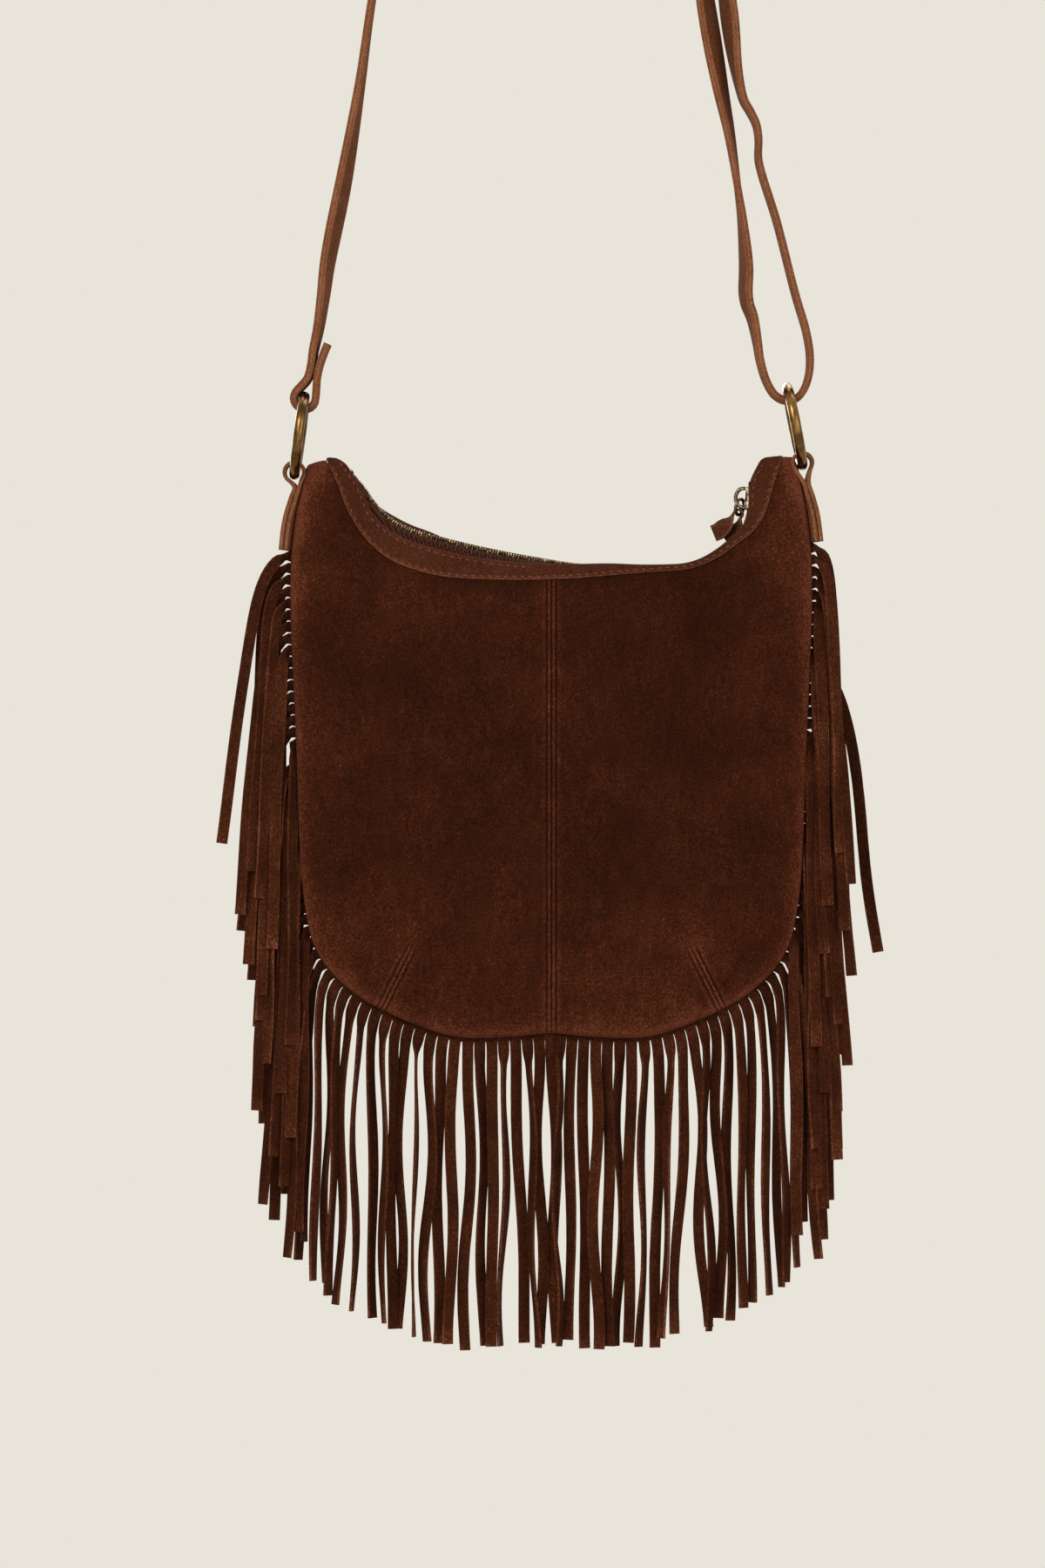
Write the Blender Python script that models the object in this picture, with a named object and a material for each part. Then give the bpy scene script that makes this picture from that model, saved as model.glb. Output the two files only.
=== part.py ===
"""Fringed suede shoulder bag, hung by its strap.

The bag is modelled in its own frame first: x across, z up from the lowest point of the body,
y = 0 in the plane of the perimeter seam, the front facing -Y.  Every piece is then carried down
by an empty, so that the world origin is the point where the strap rests on whatever holds it up.
"""

import bisect
import math
import random

import bmesh
import bpy
from mathutils import Matrix, Vector

MM = 0.001
GAP = 0.3 * MM

# Hanging: the strap's inner face at its top is the world origin.
HANG_ABOVE_BODY_BOTTOM = 841 * MM
HANG_ARC_RADIUS = 30 * MM

# Body outline, right half; the left half is the same mirrored, apart from its peak.
HALF_WIDTH_TOP = 124.5 * MM
HALF_WIDTH_MIDDLE = 122.0 * MM
HALF_WIDTH_LOW = 118.0 * MM
PEAK_OUTER_X = 115.8 * MM
LEFT_PEAK_INNER_X = 109.0 * MM
RIGHT_PEAK_INNER_X = 111.0 * MM
LEFT_PEAK_HEIGHT = 277.0 * MM
RIGHT_PEAK_HEIGHT = 279.5 * MM
SHOULDER_HEIGHT = 226.0 * MM
MIDDLE_HEIGHT = 142.0 * MM
LOW_HEIGHT = 64.0 * MM
CORNER_X = 96.0 * MM
CORNER_HEIGHT = 22.5 * MM
BOTTOM_FLAT_X = 46.0 * MM
CENTRE_LIFT = 2.5 * MM
SHOULDER_RISE = 8.0 * MM
SHOULDER_INSET = 4.0 * MM
PEAK_ROUNDING = 4.0 * MM
LOW_INSET = 6.5 * MM
LOW_DROP = 24.0 * MM
CORNER_RUN = 21.0 * MM
CORNER_DROP = 12.0 * MM
BOTTOM_RISE = 0.6 * MM

# Suede and the dished form of the body.
SUEDE = 1.6 * MM
FRINGE_SUEDE = 1.3 * MM
EDGE_HALF_DEPTH = 2.4 * MM
DISH_DEPTH = 12.0 * MM
DISH_RUN = 15.0 * MM
SEAM_HALF_DEPTH = 11.0 * MM
SEAM_RUN = 22.0 * MM
TUCK_SLOPE = 0.35

# Zip line: three tangent arcs and a straight end at the right-hand peak.
ZIP_RIGHT_CENTRE_X = 60.0 * MM
ZIP_RIGHT_CENTRE_Z = 260.0 * MM
ZIP_RIGHT_RADIUS = 36.0 * MM
ZIP_RIGHT_TURN = math.radians(90.0)
ZIP_MIDDLE_RADIUS = 440.0 * MM
ZIP_MIDDLE_TURN = math.radians(16.5)
ZIP_LEFT_RADIUS = 40.0 * MM
ZIP_LEFT_TURN = math.radians(65.0)
ZIP_RIGHT_STRAIGHT = 9.0 * MM
MOUTH_EXTENSION = (4.0 * MM, 9.0 * MM)

# Yoke: how far its seam lies outside the zip line and its crest inside it, along the zip line, in mm.
# At the right the slack mouth rolls inwards, so that the yoke faces up and hides the zip.
YOKE_SEAM_KNOTS = ((-4, 14.5), (6, 11.3), (20, 12.6), (40, 16.3), (60, 16.8), (90, 11.9), (120, 6.6),
                   (140, 3.4), (155, 1.2), (170, -0.2), (182, -0.6), (194, -0.4), (204, 1.0),
                   (214, 4.7), (224, 7.9), (234, 10.8), (247, 14.0))
FRONT_CREST_KNOTS = ((-4, -6.5), (6, -3.4), (20, -3.1), (40, -2.6), (60, -2.7), (90, -1.8), (120, 0.9),
                     (140, 2.4), (155, 2.7), (170, 3.2), (182, 3.7), (194, 4.0), (204, 3.2), (214, 0.8),
                     (234, 0.6), (247, -5.0))
BACK_CREST_KNOTS = ((-4, -6.0), (6, -2.0), (20, 0.6), (40, 1.4), (60, 0.8), (90, 0.6), (120, 0.9),
                    (140, 1.6), (155, 2.5), (170, 3.2), (182, 3.7), (194, 3.8), (204, 2.4), (214, 0.6),
                    (234, 0.6), (247, -5.0))
ROLL_START = 0.6 * MM
ROLL_SPAN = 2.4 * MM
YOKE_SUEDE = 1.5 * MM
YOKE_GAP = 0.75 * MM
YOKE_LAP = 4.0 * MM
CREST_HALF_DEPTH = (8.6 * MM, 10.4 * MM)
YOKE_ROLLED_INNER = 5.9 * MM
YOKE_FOLD_DEPTH = 8.2 * MM
YOKE_TURN_IN = 1.2 * MM
YOKE_TURN_DEPTH = 1.6 * MM
YOKE_ROLLED_EDGE = 1.9 * MM

# Darts, as seams pressed into the lower corners of each panel.
DART_TOP_X = 67.5 * MM
DART_TOP_HEIGHT = 42.0 * MM
DART_LOW_X = 81.5 * MM
DART_DEPTH = 0.9 * MM
DART_HALF_WIDTH = 2.2 * MM
DART_FADE = 7.0 * MM


class Curve:
    """A polyline in the x-z plane that is read by length."""

    def __init__(self, points):
        self.points = [Vector((p[0], p[1])) for p in points]
        self.lengths = [0.0]
        for a, b in zip(self.points, self.points[1:]):
            self.lengths.append(self.lengths[-1] + (b - a).length)
        self.length = self.lengths[-1]

    def segment(self, s):
        i = bisect.bisect_right(self.lengths, s) - 1
        return max(0, min(i, len(self.points) - 2))

    def at(self, s):
        i = self.segment(s)
        span = self.lengths[i + 1] - self.lengths[i]
        return self.points[i].lerp(self.points[i + 1], (s - self.lengths[i]) / span)

    def tangent(self, s):
        step = 1.0 * MM
        return (self.at(min(s + step, self.length)) - self.at(max(s - step, 0.0))).normalized()

    def normal(self, s):
        """The left-hand normal of the direction of travel."""
        t = self.tangent(s)
        return Vector((-t.y, t.x))

    def distance(self, p):
        best = 1.0
        for a, b in zip(self.points, self.points[1:]):
            run = b - a
            f = max(0.0, min(1.0, (p - a).dot(run) / run.length_squared))
            best = min(best, (a + run * f - p).length)
        return best

    def signed(self, p):
        """Distance of a point, positive to the right of the direction of travel."""
        best = (1.0, 1.0)
        for a, b in zip(self.points, self.points[1:]):
            run = b - a
            f = max(0.0, min(1.0, (p - a).dot(run) / run.length_squared))
            gap = (a + run * f - p).length
            if gap < best[0] - 1e-9:
                best = (gap, run.x * (p.y - a.y) - run.y * (p.x - a.x))
        return -math.copysign(best[0], best[1])


def spline(knots, per_span=8):
    """Points on a Catmull-Rom curve through the knots, any number of dimensions."""
    pts = [Vector(k) for k in knots]
    pts = [pts[0] * 2 - pts[1]] + pts + [pts[-1] * 2 - pts[-2]]
    out = []
    for i in range(1, len(pts) - 2):
        p0, p1, p2, p3 = pts[i - 1:i + 3]
        a = max((p1 - p0).length, 1e-6) ** 0.5
        b = max((p2 - p1).length, 1e-6) ** 0.5
        c = max((p3 - p2).length, 1e-6) ** 0.5
        m1 = (p2 - p1) / b - (p2 - p0) / (a + b) + (p1 - p0) / a
        m2 = (p3 - p2) / c - (p3 - p1) / (b + c) + (p2 - p1) / b
        for k in range(per_span):
            t = k / per_span
            h = (2 * t**3 - 3 * t**2 + 1, t**3 - 2 * t**2 + t, -2 * t**3 + 3 * t**2, t**3 - t**2)
            out.append(p1 * h[0] + m1 * (b * h[1]) + p2 * h[2] + m2 * (b * h[3]))
    out.append(pts[-2])
    return out


def smooth(f):
    f = max(0.0, min(1.0, f))
    return f * f * (3 - 2 * f)


def peak_height(side):
    return LEFT_PEAK_HEIGHT if side < 0 else RIGHT_PEAK_HEIGHT


def half_outline(side):
    """The perimeter seam of one half, from the peak's inner end down to the bottom centre."""
    inner = LEFT_PEAK_INNER_X if side < 0 else RIGHT_PEAK_INNER_X
    peak = peak_height(side)
    knots = [
        (inner, peak - 2 * BOTTOM_RISE),
        ((inner + PEAK_OUTER_X) / 2, peak),
        (PEAK_OUTER_X, peak - PEAK_ROUNDING),
        (HALF_WIDTH_TOP - SHOULDER_INSET, (peak + SHOULDER_HEIGHT) / 2 + SHOULDER_RISE),
        (HALF_WIDTH_TOP, SHOULDER_HEIGHT),
        (HALF_WIDTH_MIDDLE, MIDDLE_HEIGHT),
        (HALF_WIDTH_LOW, LOW_HEIGHT),
        (HALF_WIDTH_LOW - LOW_INSET, LOW_HEIGHT - LOW_DROP),
        (CORNER_X, CORNER_HEIGHT),
        (CORNER_X - CORNER_RUN, CORNER_HEIGHT - CORNER_DROP),
        (BOTTOM_FLAT_X, BOTTOM_RISE),
        (BOTTOM_FLAT_X / 2, BOTTOM_RISE * 0.7),
        (0.0, CENTRE_LIFT),
    ]
    points = spline(knots, 10)
    return Curve([(side * p.x, max(p.y, 0.0)) for p in points])


def arc(centre, radius, start, turn, step=math.radians(3)):
    count = max(2, round(abs(turn) / step))
    out = []
    for i in range(count + 1):
        angle = start + turn * i / count
        out.append(centre + radius * Vector((math.cos(angle), math.sin(angle))))
    return out


def zip_points():
    """The zip's path from its left-hand end to its right-hand end."""
    right = Vector((ZIP_RIGHT_CENTRE_X, ZIP_RIGHT_CENTRE_Z))
    first = -ZIP_RIGHT_TURN
    middle = right + (ZIP_MIDDLE_RADIUS - ZIP_RIGHT_RADIUS) * Vector((-math.cos(first), -math.sin(first)))
    lean = first - ZIP_MIDDLE_TURN
    left = middle + (ZIP_MIDDLE_RADIUS - ZIP_LEFT_RADIUS) * Vector((math.cos(lean), math.sin(lean)))
    points = arc(left, ZIP_LEFT_RADIUS, lean - ZIP_LEFT_TURN, ZIP_LEFT_TURN)
    points += arc(middle, ZIP_MIDDLE_RADIUS, lean, ZIP_MIDDLE_TURN, math.radians(0.4))[1:]
    points += arc(right, ZIP_RIGHT_RADIUS, first, ZIP_RIGHT_TURN)[1:]
    points.append(points[-1] + Vector((0, ZIP_RIGHT_STRAIGHT)))
    return points


def mouth_points():
    """The zip's path carried on at both ends, up to the tops of the two peaks."""
    points = zip_points()
    before = (points[0] - points[1]).normalized() * MOUTH_EXTENSION[0]
    return [points[0] + before] + points + [points[-1] + Vector((0, MOUTH_EXTENSION[1]))]


def along(knots, s):
    """A smooth value at length s from (length, value) pairs in mm."""
    line = spline(knots, 6)
    x = s / MM
    for p, q in zip(line, line[1:]):
        if x <= q.x:
            return MM * (p.y + (q.y - p.y) * max(0.0, (x - p.x) / (q.x - p.x)))
    return MM * line[-1].y


ZIP = Curve(zip_points())
MOUTH = Curve(mouth_points())
OUTLINE = {side: half_outline(side) for side in (-1, 1)}


def mouth_point(s, n):
    """A point at length s on the zip line, or on its extension, and n to its inner side."""
    m = s + MOUTH_EXTENSION[0]
    return MOUTH.at(m) + MOUTH.normal(m) * n


def seam_distance(s):
    return along(YOKE_SEAM_KNOTS, s)


def crest_height(s, face):
    return along(FRONT_CREST_KNOTS if face < 0 else BACK_CREST_KNOTS, s)


def yoke_span():
    return -MOUTH_EXTENSION[0] + 0.2 * MM, ZIP.length + MOUTH_EXTENSION[1] - 0.2 * MM


def seam_curve():
    start, end = yoke_span()
    return Curve([mouth_point(s, -seam_distance(s)) for s in
                  (start + (end - start) * i / 90 for i in range(91))])


SEAM = seam_curve()


def depth(p):
    """Half depth of the panels' outer surface at a point of the x-z plane."""
    rim = min(OUTLINE[-1].distance(p), OUTLINE[1].distance(p))
    edge = EDGE_HALF_DEPTH + DISH_DEPTH * (1 - math.exp(-rim / DISH_RUN))
    full = EDGE_HALF_DEPTH + DISH_DEPTH
    below = SEAM.signed(p)
    if below > 0:
        mouth = SEAM_HALF_DEPTH + (full - SEAM_HALF_DEPTH) * (1 - math.exp(-below / SEAM_RUN))
    else:
        mouth = SEAM_HALF_DEPTH + TUCK_SLOPE * below
        edge += TUCK_SLOPE * below
    soft = 1.5 * MM
    return min(edge, mouth) - soft * math.log(1 + math.exp(-abs(edge - mouth) / soft)) + soft * 0.2


def stand_off(p, distance):
    """Half depth of a sheet that lies the given distance outside the body's surface."""
    step = 0.5 * MM
    right = depth(p + Vector((step, 0))) - depth(p - Vector((step, 0)))
    up = depth(p + Vector((0, step))) - depth(p - Vector((0, step)))
    slope = min(math.hypot(right, up) / (2 * step), 1.2)
    return depth(p) + distance * math.sqrt(1 + slope * slope)


def material(name, colour, roughness, metallic=0.0):
    made = bpy.data.materials.new(name)
    made.use_nodes = True
    shader = made.node_tree.nodes["Principled BSDF"]
    shader.inputs["Base Color"].default_value = (*colour, 1.0)
    shader.inputs["Roughness"].default_value = roughness
    shader.inputs["Metallic"].default_value = metallic
    made.diffuse_color = (*colour, 1.0)
    return made


def add_object(name, mesh, look, parent, origin=Vector()):
    """Links a mesh given in bag coordinates as an object whose origin is at the given point."""
    mesh.transform(Matrix.Translation(-origin))
    mesh.materials.append(look)
    made = bpy.data.objects.new(name, mesh)
    bpy.context.scene.collection.objects.link(made)
    made.parent = parent
    made.location = origin
    return made


def shade(mesh, angle=math.radians(40)):
    mesh.shade_smooth()
    mesh.set_sharp_from_angle(angle=angle)


def grid_mesh(name, rows):
    """A sheet from equal rows of points."""
    mesh = bpy.data.meshes.new(name)
    wide = len(rows[0])
    verts = [p for row in rows for p in row]
    faces = []
    for r in range(len(rows) - 1):
        for c in range(wide - 1):
            a = r * wide + c
            faces.append((a, a + 1, a + wide + 1, a + wide))
    mesh.from_pydata(verts, [], faces)
    return mesh


def thicken(made, thickness, offset=-1.0):
    modifier = made.modifiers.new("thickness", "SOLIDIFY")
    modifier.thickness = thickness
    modifier.offset = offset
    modifier.use_even_offset = False
    return made


def face_towards(mesh, direction):
    """Turns the faces of a sheet so that on the whole they look along the direction."""
    total = Vector()
    for face in mesh.polygons:
        total += face.normal * face.area
    if total.dot(direction) < 0:
        mesh.flip_normals()


PANEL_ROWS = 10
PANEL_COLUMNS = 9
CORNER_SHARE = 0.64
PEAK_CORNER_LEAN = 1.2


def coons(top, bottom, left, right, rows, columns):
    """A patch between four boundary curves, each given as a function of 0..1."""
    out = []
    for r in range(rows + 1):
        v = r / rows
        row = []
        for c in range(columns + 1):
            u = c / columns
            ruled = top(u) * (1 - v) + bottom(u) * v + left(v) * (1 - u) + right(v) * u
            corners = (top(0) * (1 - u) + top(1) * u) * (1 - v) + (bottom(0) * (1 - u) + bottom(1) * u) * v
            row.append(ruled - corners)
        out.append(row)
    return out


def press_dart(mesh, side, face):
    """Cuts the dart's seam line into the panel and presses it in."""
    top = Vector((side * DART_TOP_X, DART_TOP_HEIGHT))
    outline = OUTLINE[side]
    lower = [p for p in outline.points if p.y <= 1.5 * CORNER_HEIGHT]
    low = min(lower, key=lambda p: abs(abs(p.x) - DART_LOW_X))
    run = (low - top).normalized()
    across = Vector((-run.y, run.x))
    reach = (low - top).length
    bm = bmesh.new()
    bm.from_mesh(mesh)
    for shift in (-DART_HALF_WIDTH, 0.0, DART_HALF_WIDTH):
        faces = []
        for f in bm.faces:
            c = f.calc_center_median()
            rel = Vector((c.x, c.z)) - top
            if -6 * MM < rel.dot(run) < reach + 9 * MM and abs(rel.dot(across)) < 11 * MM:
                faces.append(f)
        geometry = set(faces)
        for f in faces:
            geometry.update(f.edges)
            geometry.update(f.verts)
        point = top + across * shift
        bmesh.ops.bisect_plane(bm, geom=list(geometry), dist=1e-6,
                               plane_co=(point.x, 0, point.y), plane_no=(across.x, 0, across.y))
    for v in bm.verts:
        rel = Vector((v.co.x, v.co.z)) - top
        along = rel.dot(run) / reach
        if -0.2 < along < 1.3 and abs(rel.dot(across)) < 0.3 * MM:
            rim = outline.distance(Vector((v.co.x, v.co.z)))
            v.co.y -= face * DART_DEPTH * smooth((along + 0.1) / 0.5) * smooth(rim / DART_FADE)
    bmesh.ops.triangulate(bm, faces=[f for f in bm.faces if len(f.verts) > 4])
    bm.to_mesh(mesh)
    bm.free()


def tuck(s, face):
    """How far the panel's edge runs up beneath the yoke."""
    visible = crest_height(s, face) + seam_distance(s)
    ends = yoke_span()
    share = smooth(min(s - ends[0], ends[1] - s) / (25 * MM))
    return max(0.0, min(YOKE_LAP, 0.45 * visible - 2.9 * MM)) * share


def centre_length():
    """Length on the zip line at which the yoke's seam meets the centre seam."""
    steps = [ZIP.length * i / 600 for i in range(601)]
    return min(steps, key=lambda s: abs(mouth_point(s, -seam_distance(s)).x))


def add_panel(name, side, face, look, parent):
    """One quarter of the body: side is -1 left or 1 right, face is -1 front or 1 back."""
    outline = OUTLINE[side]
    half_gap = GAP / 2
    ends = yoke_span()
    seam_end = ends[0] + 1.5 * MM if side < 0 else ends[1] - 1.5 * MM
    centre_s = centre_length()

    peak_step = 1 / PANEL_COLUMNS
    peak_outer = max(outline.points, key=lambda p: p.y + abs(p.x) * PEAK_CORNER_LEAN)
    start = min(range(len(outline.points)), key=lambda i: (outline.points[i] - peak_outer).length)
    edge = Curve(outline.points[start:])

    def top(u):
        if u < peak_step:
            return peak_outer.lerp(top(peak_step), u / peak_step)
        s = seam_end + (centre_s - seam_end) * (u - peak_step) / (1 - peak_step)
        return mouth_point(s, tuck(s, face) - seam_distance(s))

    corner = edge.length * CORNER_SHARE

    def left(v):
        return edge.at(corner * v)

    def bottom(u):
        return edge.at(corner + (edge.length - corner) * u)

    def right(v):
        return top(1).lerp(bottom(1), v)

    rows = coons(top, bottom, left, right, PANEL_ROWS, PANEL_COLUMNS)
    solid = []
    for row in rows:
        line = []
        for p in row:
            x = side * max(side * p.x, half_gap)
            line.append(Vector((x, face * depth(Vector((x, p.y))), p.y)))
        solid.append(line)
    mesh = grid_mesh(name, solid)
    press_dart(mesh, side, face)
    face_towards(mesh, Vector((0, face, 0)))
    shade(mesh)
    made = add_object(name, mesh, look, parent)
    return thicken(made, SUEDE)


YOKE_STEPS = 30


def blend(pair, f):
    return pair[0] + (pair[1] - pair[0]) * f


def yoke_section(s, face):
    """Points (n, y) across the yoke: seam, bulge, crest, fold and the edge turned in to the zip."""
    low = -seam_distance(s)
    high = crest_height(s, face)
    roll = smooth((high - ROLL_START) / ROLL_SPAN)
    outer = stand_off(mouth_point(s, low), YOKE_GAP + YOKE_SUEDE)
    crest = min(blend(CREST_HALF_DEPTH, roll), outer - 0.5 * MM)
    bulge = blend((0.5, 0.72), roll)
    turned = (high - YOKE_TURN_IN, crest - YOKE_TURN_DEPTH)
    rolled = (min(YOKE_ROLLED_EDGE, high - YOKE_TURN_IN), YOKE_ROLLED_INNER)
    folds = ((high + turned[0]) / 2, (crest + turned[1]) / 2), (high - 1.2 * MM, YOKE_FOLD_DEPTH)
    return [
        (low, outer),
        (low + (high - low) * bulge, outer + (crest - outer) * blend((0.35, 0.28), roll)),
        (high, crest),
        (blend((folds[0][0], folds[1][0]), roll), blend((folds[0][1], folds[1][1]), roll)),
        (blend((turned[0], rolled[0]), roll), blend((turned[1], rolled[1]), roll)),
    ]


def add_yoke(name, face, look, parent):
    """The curved strip between the zip and the panels, lapped over the panels' top edges."""
    start, end = yoke_span()
    rows = []
    for i in range(YOKE_STEPS + 1):
        s = start + (end - start) * i / YOKE_STEPS
        row = []
        for n, y in yoke_section(s, face):
            p = mouth_point(s, n)
            row.append(Vector((p.x, face * y, p.y)))
        rows.append(row)
    mesh = grid_mesh(name, rows)
    face_towards(mesh, Vector((0, face, 0)))
    shade(mesh)
    return thicken(add_object(name, mesh, look, parent), YOKE_SUEDE)


# Zip: metal teeth on two tapes, closed; the teeth of one side stand in the gaps of the other.
TOOTH_PITCH = 2.54 * MM
TOOTH_REACH = 1.05 * MM
TOOTH_ROOT = 1.4 * MM
TOOTH_BACK = 2.4 * MM
TOOTH_WIDTH = 0.92 * MM
TOOTH_HALF_HEIGHT = 1.1 * MM
TEETH_START = 3.2 * MM
TEETH_END = 7.0 * MM
TAPE = 0.5 * MM
TAPE_INNER = 2.7 * MM
TAPE_FLAT = 4.9 * MM
TAPE_HIDDEN = (6.0 * MM, 7.4 * MM)
TAPE_STEPS = 20
TAPE_MARGIN = 1.9 * MM


def place(s, y, n):
    """A point at length s on the zip line, y across it and n above it."""
    p = ZIP.at(s) + ZIP.normal(s) * n
    return Vector((p.x, y, p.y))


def add_teeth(name, face, look, parent):
    """One row of teeth, joined along their backs as the tape's beaded edge joins them."""
    run = ZIP.length - TEETH_START - TEETH_END
    count = int(run / TOOTH_PITCH - 0.5)
    shift = 0.0 if face < 0 else TOOTH_PITCH / 2
    half = TOOTH_WIDTH / 2
    bm = bmesh.new()

    def pair(s, y):
        return [bm.verts.new(place(s, face * y, n)) for n in (TOOTH_HALF_HEIGHT, -TOOTH_HALF_HEIGHT)]

    cells = []
    for k in range(count):
        mid = TEETH_START + shift + (k + 0.5) * TOOTH_PITCH
        cells.append([pair(mid - half, TOOTH_BACK), pair(mid - half, TOOTH_ROOT),
                      pair(mid - half, -TOOTH_REACH), pair(mid + half, -TOOTH_REACH),
                      pair(mid + half, TOOTH_ROOT)])
    end = TEETH_START + shift + (count - 0.5) * TOOTH_PITCH + half
    cells[-1].append(pair(end, TOOTH_BACK))
    for k, cell in enumerate(cells):
        ahead = cells[k + 1][:2] if k + 1 < count else [cell[5]]
        loop = cell[:5] + list(reversed(ahead))
        bm.faces.new([v[0] for v in loop])
        bm.faces.new([v[1] for v in loop])
        walls = cell[1:5] + ([ahead[1]] if k + 1 < count else [cell[5]])
        if k == 0:
            walls = [cell[0]] + walls
        walls = list(zip(walls, walls[1:])) + [(cell[0], ahead[0])]
        for p, q in walls:
            bm.faces.new((p[0], p[1], q[1], q[0]))
    bmesh.ops.recalc_face_normals(bm, faces=bm.faces)
    mesh = bpy.data.meshes.new(name)
    bm.to_mesh(mesh)
    bm.free()
    return add_object(name, mesh, look, parent)


def add_tape(name, face, look, parent):
    """The woven tape of one side: flat beside the teeth, then turned down under the yoke."""
    rows = []
    for i in range(TAPE_STEPS + 1):
        s = TAPE_MARGIN + (ZIP.length - 2 * TAPE_MARGIN) * i / TAPE_STEPS
        high = crest_height(s, face)
        roll = smooth((high - ROLL_START) / ROLL_SPAN)
        low = min(high - 2.6 * MM, -0.9 * MM)
        inner = min(yoke_section(s, face)[2][1] - YOKE_SUEDE - 2 * GAP, blend(TAPE_HIDDEN, roll))
        rows.append([place(s, face * TAPE_INNER, TAPE / 2), place(s, face * TAPE_FLAT, TAPE / 2),
                     place(s, face * inner, low)])
    mesh = grid_mesh(name, rows)
    face_towards(mesh, Vector((0, 0, 1)))
    return thicken(add_object(name, mesh, look, parent), TAPE)


# Rings.
RING_RADIUS = 19.0 * MM
RING_WIRE = 2.5 * MM
RING_STEPS = 24
RING_SIDES = 8
LEFT_RING_X = -(HALF_WIDTH_TOP - 3.1 * MM)
LEFT_RING_Z = LEFT_PEAK_HEIGHT + 12.4 * MM
LEFT_RING_LEAN = math.radians(7.5)
RIGHT_RING_X = HALF_WIDTH_TOP - 7.1 * MM
RIGHT_RING_Z = RIGHT_PEAK_HEIGHT + 14.3 * MM
RIGHT_RING_LEAN = math.radians(-11.0)


def torus(name, radius, wire, steps, sides, stretch=1.0):
    """A ring in the y-z plane; stretch makes it an oval, longer in z."""
    bm = bmesh.new()
    rings = []
    for i in range(steps):
        a = 2 * math.pi * i / steps
        centre = Vector((0, radius * math.sin(a), radius * stretch * math.cos(a)))
        out = Vector((0, stretch * math.sin(a), math.cos(a))).normalized()
        line = []
        for k in range(sides):
            b = 2 * math.pi * (k + 0.5) / sides
            line.append(bm.verts.new(centre + out * wire * math.cos(b) + Vector((wire * math.sin(b), 0, 0))))
        rings.append(line)
    for i in range(steps):
        for k in range(sides):
            j = (k + 1) % sides
            n = (i + 1) % steps
            bm.faces.new((rings[i][k], rings[i][j], rings[n][j], rings[n][k]))
    bmesh.ops.recalc_face_normals(bm, faces=bm.faces)
    mesh = bpy.data.meshes.new(name)
    bm.to_mesh(mesh)
    bm.free()
    mesh.shade_smooth()
    return mesh


def add_ring(name, x, z, lean, look, parent):
    mesh = torus(name, RING_RADIUS, RING_WIRE, RING_STEPS, RING_SIDES)
    mesh.transform(Matrix.Rotation(lean, 4, "Y"))
    made = add_object(name, mesh, look, parent)
    made.location = Vector((x, 0, z))
    return made


def ring_point(x, z, lean, way):
    """Centre of the ring's wire at its top (way 1) or bottom (way -1)."""
    return Vector((x + way * RING_RADIUS * math.sin(lean), z + way * RING_RADIUS * math.cos(lean)))


def ribbon(name, route, width, thickness, twist=None, shape=None):
    """A flat strip along a route in the x-z plane, its width along y, as one closed solid."""
    bm = bmesh.new()
    sections = []
    line = Curve(route)
    last = len(route) - 1
    for i, here in enumerate(line.points):
        before = line.points[max(i - 1, 0)]
        after = line.points[min(i + 1, last)]
        if 0 < i < last:
            t = ((here - before).normalized() + (after - here).normalized()).normalized()
        else:
            t = (after - before).normalized()
        normal = Vector((-t.y, 0, t.x))
        along = Vector((t.x, 0, t.y))
        wide = Vector((0, 1, 0))
        angle = twist(line.lengths[i] / line.length) if twist else 0.0
        turn = Matrix.Rotation(angle, 3, along)
        normal = turn @ normal
        wide = turn @ wide
        centre = Vector((here.x, 0, here.y))
        half = width / 2 * (shape(line.lengths[i] / line.length) if shape else 1.0)
        corners = []
        for a, b in ((-1, -1), (1, -1), (1, 1), (-1, 1)):
            corners.append(bm.verts.new(centre + wide * (a * half) + normal * (b * thickness / 2)))
        sections.append(corners)
    for a, b in zip(sections, sections[1:]):
        for i in range(4):
            j = (i + 1) % 4
            bm.faces.new((a[i], a[j], b[j], b[i]))
    bm.faces.new(sections[0])
    bm.faces.new(sections[-1])
    bmesh.ops.recalc_face_normals(bm, faces=bm.faces)
    mesh = bpy.data.meshes.new(name)
    bm.to_mesh(mesh)
    bm.free()
    shade(mesh)
    return mesh


# Tabs: folded suede straps that carry the rings, their two ends sewn down the side seam.
TAB_WIDTH = 12.0 * MM
TAB_SUEDE = 1.5 * MM
TAB_BORE = 3.8 * MM
TAB_LIFT = 1.0 * MM
TAB_TOP_DROP = 16.0 * MM
TAB_SEWN_LENGTH = 25.5 * MM
TAB_LAYER_GAP = 0.5 * MM
TAB_STAND_OFF = 0.5 * MM


def tab_low(side):
    return peak_height(side) - TAB_TOP_DROP - TAB_SEWN_LENGTH


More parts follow.
